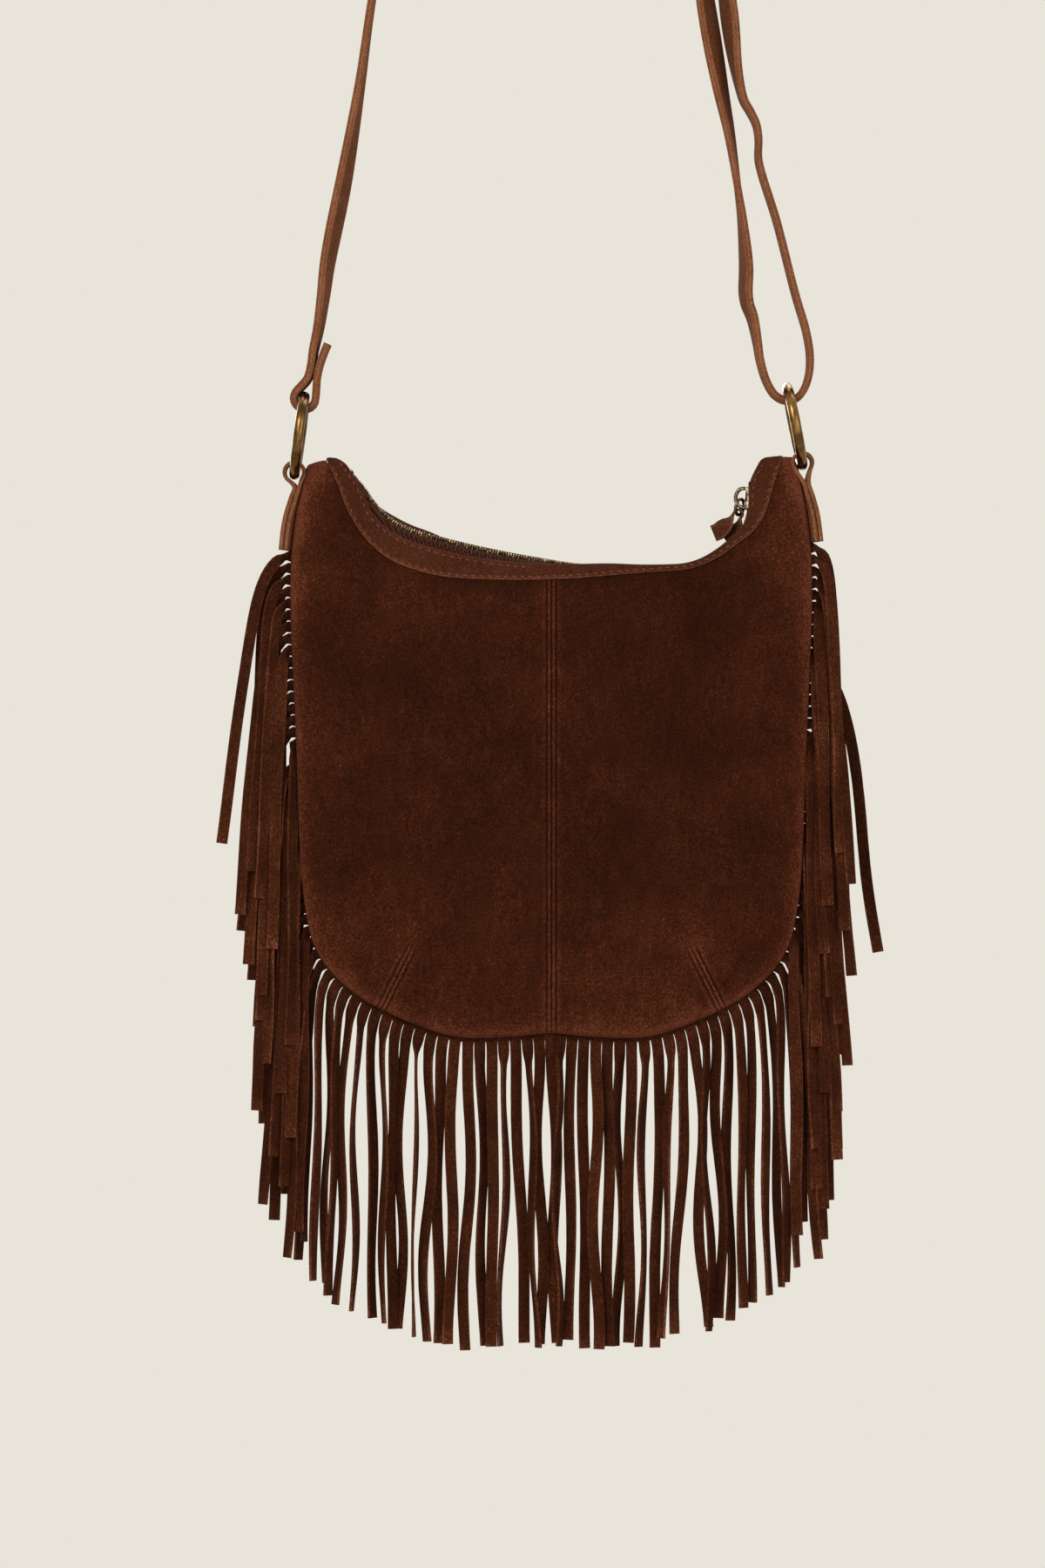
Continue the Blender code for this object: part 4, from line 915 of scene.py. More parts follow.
def row_along(points: Array, facing: Array, pitch: float, lift: float = 0.0) -> Row:
    """Evenly spaced places along a line, as many as fit.

    Args:
        points: the line, one point a row.
        facing: the unit direction that each point faces.
        pitch: distance from place to place.
        lift: distance from the line, along the facing.

    Returns:
        The row.
    """
    run = run_lengths(points)
    count = max(1, int(run[-1] / pitch))
    s = (run[-1] - count * pitch) / 2 + pitch * (np.arange(count) + 0.5)
    out = read_rows(s, run, facing)
    heading = read_rows(s + pitch / 4, run, points) - read_rows(s - pitch / 4, run, points)
    return Row(read_rows(s, run, points) + out * lift, heading, out)


def repeat_tree() -> Tree:
    """Geometry Nodes that set a copy of a small pattern on every point of a mesh."""
    known = bpy.data.node_groups.get("copies_on_points")
    if known:
        return known
    tree = bpy.data.node_groups.new("copies_on_points", "GeometryNodeTree")
    for name, kind in (("Points", "NodeSocketGeometry"), ("Pattern", "NodeSocketObject"),
                       ("Slant", "NodeSocketFloat"), ("Seed", "NodeSocketInt"),
                       ("Finish", "NodeSocketMaterial")):
        tree.interface.new_socket(name, in_out="INPUT", socket_type=kind)
    tree.interface.new_socket("Copies", in_out="OUTPUT", socket_type="NodeSocketGeometry")
    source = add_node(tree, "NodeGroupInput").outputs
    facing, heading = [
        add_node(tree, "GeometryNodeInputNamedAttribute", {"Name": name}, data_type="FLOAT_VECTOR")
        for name in ("facing", "heading")
    ]
    upright = add_node(tree, "FunctionNodeAlignRotationToVector", {"Vector": facing}, axis="Z")
    ahead = add_node(tree, "FunctionNodeAlignRotationToVector", {
        "Rotation": upright, "Vector": heading}, axis="Y", pivot_axis="Z")
    chance = add_node(tree, "FunctionNodeRandomValue", {
        0: (-1.0, -1.0, -1.0), "Seed": source["Seed"]}, data_type="FLOAT_VECTOR")
    lean = add_node(tree, "ShaderNodeVectorMath", {0: chance, "Scale": source["Slant"]},
                    operation="SCALE")
    turn = add_node(tree, "FunctionNodeEulerToRotation", {0: lean})
    placed = add_node(tree, "FunctionNodeRotateRotation", {
        "Rotation": ahead, "Rotate By": turn}, rotation_space="LOCAL")
    pattern = add_node(tree, "GeometryNodeObjectInfo", {"Object": source["Pattern"]})
    copies = add_node(tree, "GeometryNodeInstanceOnPoints", {
        "Points": source["Points"], "Instance": pattern.outputs["Geometry"], "Rotation": placed})
    real = add_node(tree, "GeometryNodeRealizeInstances", {0: copies})
    dressed = add_node(tree, "GeometryNodeSetMaterial", {
        "Geometry": real, "Material": source["Finish"]})
    add_node(tree, "NodeGroupOutput", {0: dressed})
    return tree


def repeat(name: str, rows: Sequence[Row], pattern: Piece, finish: Finish,
           slant: float = 0.0) -> Piece:
    """Sets copies of a pattern along rows, as one plain mesh.

    Args:
        name: the piece's name.
        rows: the places; the pattern's Y runs with the heading and its Z with the facing.
        pattern: a small piece at the origin, which is used up.
        finish: the copies' finish.
        slant: the most that a copy may be turned off its row, in radians.

    Returns:
        The piece.
    """
    mesh = bpy.data.meshes.new(name)
    mesh.from_pydata(to_frame(np.vstack([row.points for row in rows])), [], [])
    for key in ("facing", "heading"):
        layer = mesh.attributes.new(key, "FLOAT_VECTOR", "POINT")
        values = np.vstack([getattr(row, key) for row in rows]).astype(np.float32)
        layer.data.foreach_set("vector", values.ravel())
    piece = new_object(name, mesh)
    nodes = piece.modifiers.new("copies", "NODES")
    nodes.node_group = repeat_tree()
    given = {"Pattern": pattern, "Slant": slant, "Seed": len(name), "Finish": finish.material}
    for item in nodes.node_group.interface.items_tree:
        if item.in_out == "INPUT" and item.name in given:
            nodes[item.identifier] = given[item.name]
    baked(piece)
    bpy.data.objects.remove(pattern)
    return piece


def bead(name: str, rings: int, shape: Callable[[Vector], Vector]) -> Piece:
    """A small pattern for repeat, made from a coarse ball.

    Args:
        name: the pattern's name.
        rings: how finely the ball is cut from pole to pole.
        shape: where a point of the ball of radius 1 goes.

    Returns:
        The pattern, at the origin.
    """
    bm = bmesh.new()
    bmesh.ops.create_uvsphere(bm, u_segments=8, v_segments=rings, radius=1.0)
    for v in bm.verts:
        v.co = shape(v.co)
    mesh = bpy.data.meshes.new(name)
    bm.to_mesh(mesh)
    bm.free()
    mesh.shade_smooth()
    return new_object(name, mesh)



@dataclass(frozen=True)
class Thread:
    """A line of machine sewing: what one stitch measures and how far apart they lie."""

    finish: Finish
    pitch: float = 3.8 * MM
    stitch: float = 3.0 * MM
    radius: float = 0.36 * MM
    sink: float = 0.35 * MM
    slant: float = 0.09
    lean: float = 0.2
    hole_rise: float = 0.14 * MM

    def sew(self, name: str, lines: Sequence[Line]) -> Piece:
        """Sews stitches along lines.

        Args:
            name: the piece's name.
            lines: each line's points, and the directions that they face.

        Returns:
            The stitches as one piece.
        """
        def shape(co: Vector) -> Vector:
            """A grain of thread that dips into the suede at its two ends."""
            y, z = co.z, -co.y
            return Vector((co.x * self.radius, y * self.stitch / 2, z * self.radius - self.sink * y * y))

        rows = []
        for points, facing in lines:
            row = row_along(points, facing, self.pitch, 0.4 * self.radius)
            across = np.cross(row.facing, row.heading)
            turned = row.heading * math.cos(self.lean) + across * math.sin(self.lean)
            rows.append(replace(row, heading=turned))
        return repeat(name, rows, bead("stitch", 7, shape), self.finish, self.slant)

    def pierce(self, name: str, lines: Sequence[Line]) -> Piece:
        """Dark dots between the stitches: painted shade for the needle's holes.

        Args:
            name: the piece's name.
            lines: the lines that were sewn.

        Returns:
            The holes as one piece.
        """
        half = (self.radius * 1.5, (self.pitch - self.stitch) / 2, self.hole_rise)
        rows = []
        for points, facing in lines:
            row = row_along(points, facing, self.pitch)
            rows.append(replace(row, points=row.points + row.heading))
        # Dark beads: painted shade for the needle holes.
        hole = bead("hole", 5, lambda co: Vector([c * h for c, h in zip(co, half)]))
        return repeat(name, rows, hole, Finish.HOLE, self.slant)


@dataclass
class Panels:
    """The four quarters of the body: one suede panel a side on the front and on the back."""

    form: BagForm = FORM
    rows: int = 96
    columns: int = 72
    thickness: float = 1.6 * MM
    corner_share: float = 0.64
    corner_lean: float = 1.2
    peak_share: float = 1 / 9
    lap: float = 4.0 * MM
    lap_run: float = 25.0 * MM
    dart_top: Pair = (67.5 * MM, 42.0 * MM)
    dart_low: Pair = (81.5 * MM, 14.0 * MM)
    dart_depth: float = 0.9 * MM

    def build(self) -> list[Piece]:
        """Makes the panels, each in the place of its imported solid."""
        made = []
        for face in Face:
            for side in Side:
                node = f"{face.word}_panel_{side.word}"
                made.append(seated(self._panel(f"{node}_suede", side, face), "bag_body", node))
        return made

    def _tuck(self, s: Array, face: Face) -> Array:
        """How far the panel's edge runs up beneath the yoke."""
        visible = self.form.crest(s, face) + self.form.seam_distance(s)
        start, end = self.form.span
        share = smooth(np.minimum(s - start, end - s) / self.lap_run)
        return np.clip(0.45 * visible - 2.9 * MM, 0.0, self.lap) * share

    def _bounds(self, side: Side, face: Face) -> tuple[Array, Array, Array, Array]:
        """The edges of one panel.

        Args:
            side: the panel's half of the bag.
            face: the front or the back.

        Returns:
            Its top, bottom, outer and centre edges, as rows of points of the x-z plane.
        """
        form = self.form
        outline = form.outline[side]
        u = self._crowded(self.columns, 1.7)
        v = np.linspace(0, 1, self.rows + 1)
        start, end = form.span
        seam_end = start + 1.5 * MM if side is Side.LEFT else end - 1.5 * MM
        steps = np.linspace(0, form.zip_path.length, 2401)
        centre = steps[np.argmin(np.abs(form.mouth_point(steps, -form.seam_distance(steps))[:, 0]))]
        f = np.clip((u - self.peak_share) / (1 - self.peak_share), 0, 1)
        s = seam_end + (centre - seam_end) * f
        top = form.mouth_point(s, self._tuck(s, face) - form.seam_distance(s))
        k = int(np.argmax(outline.points[:, 1] + self.corner_lean * np.abs(outline.points[:, 0])))
        peak = outline.points[k]
        first = np.clip(u / self.peak_share, 0, 1)[:, None]
        top = np.where(u[:, None] < self.peak_share, peak * (1 - first) + top[0] * first, top)
        edge = Path(outline.points[k:])
        corner = edge.length * self.corner_share
        outer = edge.at(corner * v)
        bottom = edge.at(corner + (edge.length - corner) * u)
        centre_line = top[-1] + (bottom[-1] - top[-1]) * v[:, None]
        return top, bottom, outer, centre_line

    @staticmethod
    def _crowded(count: int, power: float) -> Array:
        """Shares from 0 to 1, closer together towards 1."""
        return 1 - (1 - np.linspace(0, 1, count + 1)) ** power

    def depth(self, p: Array, face: Face) -> Array:
        """Half depth of the suede's outer surface, with its slack, darts and centre seam.

        Args:
            p: points of the x-z plane.
            face: the front or the back.

        Returns:
            The half depths.
        """
        x = np.abs(p[:, 0])
        flat = 0.5 * MM * np.exp(-((x / (2.6 * MM)) ** 4))
        groove = 0.75 * MM * np.exp(-x / (0.5 * MM))
        return self.form.half_depth(p) + self._slack(p, face) - self._darts(p) + flat - groove

    def _slack(self, p: Array, face: Face) -> Array:
        """The soft hollows and swells of suede that hangs from its two peaks.

        Args:
            p: points of the x-z plane.
            face: the front or the back.

        Returns:
            The height at each point.
        """
        form = self.form
        out = np.zeros(len(p))
        for k, (x, z) in enumerate(p):
            q = Vector((x / 0.055, 7.0 * face.value, z / 0.085))
            out[k] = 1.5 * noise.noise(q) + 0.7 * noise.noise(Vector((x / 0.024, 3.0, z / 0.05)))
        drape = np.abs(p[:, 0]) / form.half_width
        fold = np.sin((np.abs(p[:, 0]) - 0.02) / (11 * MM) + p[:, 1] / 0.05)
        high = np.clip((p[:, 1] - 0.12) / 0.13, 0, 1)
        out += 0.5 * fold * high * drape ** 2
        calm = np.minimum(form.rim(p) / (22 * MM), 1) * np.clip(form.seam.signed(p) / (16 * MM), 0, 1)
        calm = calm * np.minimum(1, (np.abs(p[:, 0]) + 3 * MM) / (14 * MM))
        return out * MM * calm

    def _darts(self, p: Array) -> Array:
        """How deep the dart's sewn line draws the suede in.

        Args:
            p: points of the x-z plane.

        Returns:
            The depth at each point.
        """
        a = np.array(self.dart_top)
        run = np.array(self.dart_low) - a
        reach = float(np.linalg.norm(run))
        run = run / reach
        rel = np.stack([np.abs(p[:, 0]), p[:, 1]], axis=1) - a
        on = (rel @ run) / reach
        off = rel @ np.array((-run[1], run[0]))
        start = np.clip((on + 0.25) / 0.6, 0, 1)
        rim = np.clip(self.form.rim(p) / (7 * MM), 0, 1)
        end = np.clip((1.35 - on) / 0.2, 0, 1)
        return self.dart_depth * start * rim * end * np.exp(-((off / (4.2 * MM)) ** 2))

    def _panel(self, name: str, side: Side, face: Face) -> Piece:
        """One quarter of the body as a closed sheet of suede.

        Args:
            name: the piece's name.
            side: the half of the bag.
            face: the front or the back.

        Returns:
            The panel.
        """
        form = self.form
        top, bottom, outer, centre = self._bounds(side, face)
        u = self._crowded(self.columns, 1.7)[None, :, None]
        v = np.linspace(0, 1, self.rows + 1)[:, None, None]
        ruled = top[None] * (1 - v) + bottom[None] * v + outer[:, None] * (1 - u) + centre[:, None] * u
        corners = (top[0] * (1 - u) + top[-1] * u) * (1 - v) + (bottom[0] * (1 - u) + bottom[-1] * u) * v
        p = (ruled - corners).reshape(-1, 2)
        p[:, 0] = side.value * np.maximum(side.value * p[:, 0], 0.08 * MM)
        x = np.abs(p[:, 0])
        points = at_depth(p, face.value * self.depth(p, face))
        flip = side.value * face.value < 0
        mesh = new_mesh(name, points, grid_faces(self.rows + 1, self.columns + 1, flip=flip))
        rim = form.rim(p)
        below = np.maximum(form.seam.signed(p), 0)
        # Painted light: a highlight along the rounded rims, and a shadow just under the yoke's lapped edge.
        wear = 0.75 * np.exp(-rim / (4.5 * MM)) - 0.3 * np.exp(-below / (4 * MM))
        # Lighter towards the peaks; a painted highlight on the lower swell above the bottom edge.
        wear += 0.62 * np.clip((p[:, 1] - 0.17) / 0.11, 0, 1) ** 2 + 0.3 * np.clip(1 - p[:, 1] / 0.09, 0, 1)
        # A painted highlight towards the sides.
        wear += 0.14 * np.clip(x / form.half_width, 0, 1) ** 4
        # A painted sheen round the top of each dart.
        dart = np.hypot(x - self.dart_top[0], p[:, 1] - self.dart_top[1] - 2 * MM)
        wear += 0.3 * np.exp(-((dart / (9 * MM)) ** 2))
        set_values(mesh, "wear", np.clip(wear, -0.5, 1))
        return thickened(name, mesh, Finish.BODY, self.thickness)


@dataclass
class Yokes:
    """The curved bands between the zip and the panels, lapped over the panels' top edges."""

    form: BagForm = FORM
    steps: int = 300
    per_span: int = 6
    crest_depth: Pair = (8.6 * MM, 10.4 * MM)
    rolled_inner: float = 5.9 * MM
    fold_depth: float = 8.2 * MM
    turn_in: float = 1.2 * MM
    turn_depth: float = 1.6 * MM
    rolled_edge: float = 1.9 * MM
    closed: float = 0.45

    def build(self) -> list[Piece]:
        """Makes both bands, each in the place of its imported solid."""
        return [seated(self._band(f"{face.word}_yoke_suede", face), "bag_body", f"{face.word}_yoke")
                for face in Face]

    @staticmethod
    def rolled(crest: Numbers) -> Numbers:
        """1 where the crest stands high and the edge rolls in over the zip, 0 where it lies low."""
        return smooth((crest - 0.6 * MM) / (2.4 * MM))

    def sections(self, s: Array, face: Face) -> Array:
        """The yoke's cross-section at each length.

        Args:
            s: lengths on the zip line.
            face: the front or the back.

        Returns:
            Five points (n, y) for each length, from the sewn edge to the edge turned in at the zip.
        """
        full = self.form.fullness(s)
        low = -self.form.seam_distance(s)
        high = self.form.crest(s, face)
        middle = mix(low, high, np.where(s < self.form.zip_path.length / 2, 0.22, 0.12))
        low, high = middle + (low - middle) * full, middle + (high - middle) * full
        roll = self.rolled(high)
        foot = self.form.mouth_point(s, low)
        outer = self.form.stand_off(foot, self.form.yoke_gap + self.form.yoke_suede)
        crest = np.minimum(mix(*self.crest_depth, roll), outer - 0.5 * MM) * mix(self.closed, 1.0, full)
        outer = outer * mix(self.closed, 1.0, full)
        bulge = mix(0.5, 0.72, roll)
        turned_n, turned_y = high - self.turn_in, crest - self.turn_depth
        rolled_n = np.minimum(self.rolled_edge, high - self.turn_in)
        fold_n = mix((high + turned_n) / 2, high - 1.2 * MM, roll)
        fold_y = mix((crest + turned_y) / 2, self.fold_depth, roll)
        return np.stack([
            np.stack([low, outer], -1),
            np.stack([low + (high - low) * bulge, outer + (crest - outer) * mix(0.35, 0.28, roll)], -1),
            np.stack([high, crest], -1),
            np.stack([fold_n, fold_y], -1),
            np.stack([mix(turned_n, rolled_n, roll), mix(turned_y, self.rolled_inner, roll)], -1),
        ], axis=1)

    def line(self, share: Array, face: Face, s: Array) -> Line:
        """Points and outward normals on the band.

        Args:
            share: 0 at the sewn edge, 1 at the crest, for each length.
            face: the front or the back.
            s: lengths on the zip line.

        Returns:
            The points and the normals, in the bag's frame.
        """
        near = self._surface(s, face, share - 0.04)
        far = self._surface(s, face, share + 0.04)
        here = self._surface(s, face, share)
        return here, unit(np.cross(far - near, np.gradient(here, axis=0)) * -face.value)

    def _surface(self, s: Array, face: Face, share: Array) -> Array:
        """Points of the band's outer surface.

        Args:
            s: their lengths on the zip line.
            face: the front or the back.
            share: their shares of the band's height.

        Returns:
            The points.
        """
        out = []
        for at, section, f in zip(s, self.sections(s, face), share):
            curve = spline(section, self.per_span)
            k = np.clip(f, 0, 1) * 2 * self.per_span
            n, y = read_rows(k, np.arange(len(curve)), curve)
            p = self.form.mouth_point(at, n)
            out.append((p[0], face.value * y, p[1]))
        return np.array(out)

    def _band(self, name: str, face: Face) -> Piece:
        """One band as a closed sheet of suede with a rolled top edge.

        Args:
            name: the piece's name.
            face: the front or the back.

        Returns:
            The band.
        """
        s = np.linspace(*self.form.span, self.steps + 1)
        points, wear = [], []
        for at, section in zip(s, self.sections(s, face)):
            curve = spline(section, self.per_span)
            ripple = 0.16 * MM * noise.noise(Vector((at / 0.009, face.value * 5.0, 0.0)))
            p = self.form.mouth_point(np.full(len(curve), at), curve[:, 0])
            share = np.arange(len(curve)) / (2 * self.per_span)
            swell = ripple * np.sin(np.pi * np.clip(share, 0, 1))
            points += [(q[0], face.value * (y + w), q[1]) for q, y, w in zip(p, curve[:, 1], swell)]
            wear += list(0.9 * np.exp(-share / 0.07) + 0.3 * np.exp(-((share - 1) / 0.16) ** 2) - 0.08)
        faces = grid_faces(self.steps + 1, 4 * self.per_span + 1, flip=face is Face.FRONT)
        mesh = new_mesh(name, points, faces)
        set_values(mesh, "wear", np.clip(wear, -0.5, 1))
        return thickened(name, mesh, Finish.YOKE, self.form.yoke_suede)


@dataclass
class Sewing:
    """The visible rows of stitches on the body."""

    panels: Panels
    yokes: Yokes
    body_thread: Thread = Thread(Finish.PANEL_THREAD, pitch=3.9 * MM, stitch=2.3 * MM, radius=0.33 * MM)
    dart_thread: Thread = Thread(Finish.DART_THREAD, pitch=3.9 * MM, stitch=1.9 * MM, radius=0.3 * MM)
    yoke_thread: Thread = Thread(Finish.THREAD, pitch=3.9 * MM, stitch=2.1 * MM, radius=0.27 * MM)
    seam_row: float = 2.2 * MM
    dart_row: float = 2.1 * MM
    edge_row: float = 1.7 * MM
    zip_row: float = 3.4 * MM

    def build(self) -> list[Piece]:
        """Sews the seams of the panels and of the yokes."""
        made = []
        for face in Face:
            for part, thread, lines in (("seam", self.body_thread, self._seam_lines(face)),
                                        ("dart", self.dart_thread, self._dart_lines(face))):
                made.append(thread.sew(f"{face.word}_{part}_stitches", lines))
                # The needle holes are dark dots of painted shade.
                made.append(thread.pierce(f"{face.word}_{part}_needle_holes", lines))
            made.append(self.yoke_thread.sew(f"{face.word}_yoke_stitches", self._yoke_lines(face)))
        for piece in made:
            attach(piece, "bag_body")
        return made

    def _seam_lines(self, face: Face) -> list[Line]:
        """One row on each side of the centre seam."""
        top = float(self.panels.form.seam.points[:, 1].min()) - 1.5 * MM
        z = np.linspace(4.5 * MM, top, 160)
        return [self._on_panel(np.stack([np.full(160, side.value * self.seam_row), z], axis=1), face)
                for side in Side]

    def _dart_lines(self, face: Face) -> list[Line]:
        """One row on each side of each dart.

        Args:
            face: the front or the back.

        Returns:
            The lines.
        """
        lines = []
        for side in Side:
            a, b = np.array(self.panels.dart_top), np.array(self.panels.dart_low)
            run = (b - a) / np.linalg.norm(b - a)
            across = np.array((-run[1], run[0]))
            for way in (-1, 1):
                p = a + (b - a) * np.linspace(0.0, 1.0, 60)[:, None] + across * way * self.dart_row
                lines.append(self._on_panel(p * (side.value, 1), face))
        return lines

    def _on_panel(self, p: Array, face: Face) -> Line:
        """Lays points onto the panels.

        Args:
            p: points of the x-z plane.
            face: the front or the back.

        Returns:
            The points on the surface, and its outward directions there.
        """
        step = 0.5 * MM
        depth = self.panels.depth(p, face)
        across = (self.panels.depth(p + (step, 0), face) - depth) / step
        up = (self.panels.depth(p + (0, step), face) - depth) / step
        out = at_depth(-np.stack([across, up], axis=1), face.value)
        return at_depth(p, face.value * depth), unit(out)

    def _yoke_lines(self, face: Face) -> list[Line]:
        """One row beside the seam and one beside the zip, where the band is wide enough.

        Args:
            face: the front or the back.

        Returns:
            The lines.
        """
        form = self.yokes.form
        s = np.linspace(form.span[0] + 3 * MM, form.span[1] - 3 * MM, 400)
        width = form.seam_distance(s) + form.crest(s, face) + 3.0 * MM
        low = self.yokes.line(self.edge_row / width, face, s)
        high = self.yokes.line(1 - self.zip_row / width, face, s)
        wide = width > 11.0 * MM
        lines = [low]
        for part in np.split(np.arange(len(s)), np.flatnonzero(np.diff(wide.astype(int))) + 1):
            if wide[part[0]] and len(part) > 20:
                lines.append((high[0][part], high[1][part]))
        return lines


@dataclass(frozen=True)
class Ribbon:
    """A flat strip of suede: its width lies along Y until it is twisted."""

    width: float
    thickness: float
    layers: int = 1
    step: float = 1.6 * MM
    fray: float = 0.1 * MM

    def profile(self) -> list[Triple]:
        """The cross-section as (across, through, raw edge), with a groove where layers meet."""
        cut = ((0.06, 0.55, 0.95), (0.25, 1.0, 0.5), (0.5, 1.1, 0.36), (0.75, 1.0, 0.5), (0.94, 0.55, 0.95))
        side = [(2 * (k + share) / self.layers - 1, reach, raw)
                for k in range(self.layers) for share, reach, raw in cut]
        side[0] = (-1.0, 0.3, 0.7)
        side[-1] = (1.0, 0.3, 0.7)
        edge = 0.35 * self.thickness / self.layers
        half = self.width / 2
        thick = self.thickness / 2
        flat = [(half * f, 0.15 if abs(f) > 0.7 else 0.0) for f in (-0.8, -0.4, 0.0, 0.4, 0.8)]
        out = [(x, -thick, raw) for x, raw in flat]
        out += [(half - edge + edge * reach, thick * b, raw) for b, reach, raw in side]
        out += [(x, thick, raw) for x, raw in reversed(flat)]
        out += [(edge - half - edge * reach, thick * b, raw) for b, reach, raw in reversed(side)]
        return out

    def build(self, name: str, route: Sequence[Sequence[float]], finish: Finish,
              twist: Callable[[float], float] | None = None,
              narrow: Callable[[float], float] | None = None) -> Piece:
        """Carries the cross-section along a route in the x-z plane.

        Args:
            name: the piece's name.
            route: knots of the centre line, (x, z).
            finish: the strip's finish.
            twist: the turn about the centre line at a share of the length.
            narrow: the width's factor at a share of the length.

        Returns:
            The piece, a closed solid.
        """
        line = Path(spline(route, 12))
        count = max(8, round(line.length / self.step))
        lengths = np.linspace(0, line.length, count + 1)
        centre = line.at(lengths)
        ahead = unit(np.gradient(centre, axis=0))
        profile = self.profile()
        shift = random.Random(len(name)).uniform(0, 9)
        depth = Vector((0, 1, 0))
        sections = []
        for at, middle, run in zip(lengths, centre, ahead):
            share = float(at / line.length)
            middle, run = Vector((middle[0], 0, middle[1])), Vector((run[0], 0, run[1]))
            turn = twist(share) if twist else 0.0
            wide = depth * math.cos(turn) + run.cross(depth) * math.sin(turn)
            up = wide.cross(run)
            size = narrow(share) if narrow else 1.0
            section = []
            for x, t, raw in profile:
                rough = noise.noise(Vector((at / 0.0021, x / 0.004 + shift, t / 0.0011))) * self.fray
                x *= size
                if raw > 0.3:
                    x += math.copysign(rough, x)
                else:
                    t += math.copysign(rough * 0.45, t)
                section.append(middle + wide * x + up * t)
            sections.append(section)
        mesh = lofted(name, sections)
        set_values(mesh, "wear", [raw for _, _, raw in profile] * (count + 1))
        return dress(new_object(name, mesh), finish)


@dataclass(frozen=True)
class Ring:
    """One cast ring between a tab and the strap."""

    side: Side
    centre: Pair
    lean: float
    radius: float = 19.0 * MM
    wire: float = 2.5 * MM

    def wire_at(self, way: int) -> Array:
        """Centre of the wire at the ring's top (way 1) or bottom (way -1)."""
        x, z = self.centre
        reach = way * self.radius
        return np.array((x + reach * math.sin(self.lean), z + reach * math.cos(self.lean)))

    def build(self) -> Piece:
        """Makes the ring, round and smooth."""
        word = self.side.word
        mesh = torus(f"ring_{word}", self.centre, self.lean, self.radius, self.wire)
        piece = dress(new_object(f"ring_{word}_brass", mesh), Finish.BRASS)
        return seated(piece, f"{word}_ring_body", f"ring_{word}")


RINGS = {
    Side.LEFT: Ring(Side.LEFT, (-121.4 * MM, 289.4 * MM), math.radians(7.5)),
    Side.RIGHT: Ring(Side.RIGHT, (117.4 * MM, 293.8 * MM), math.radians(-11.0)),
}


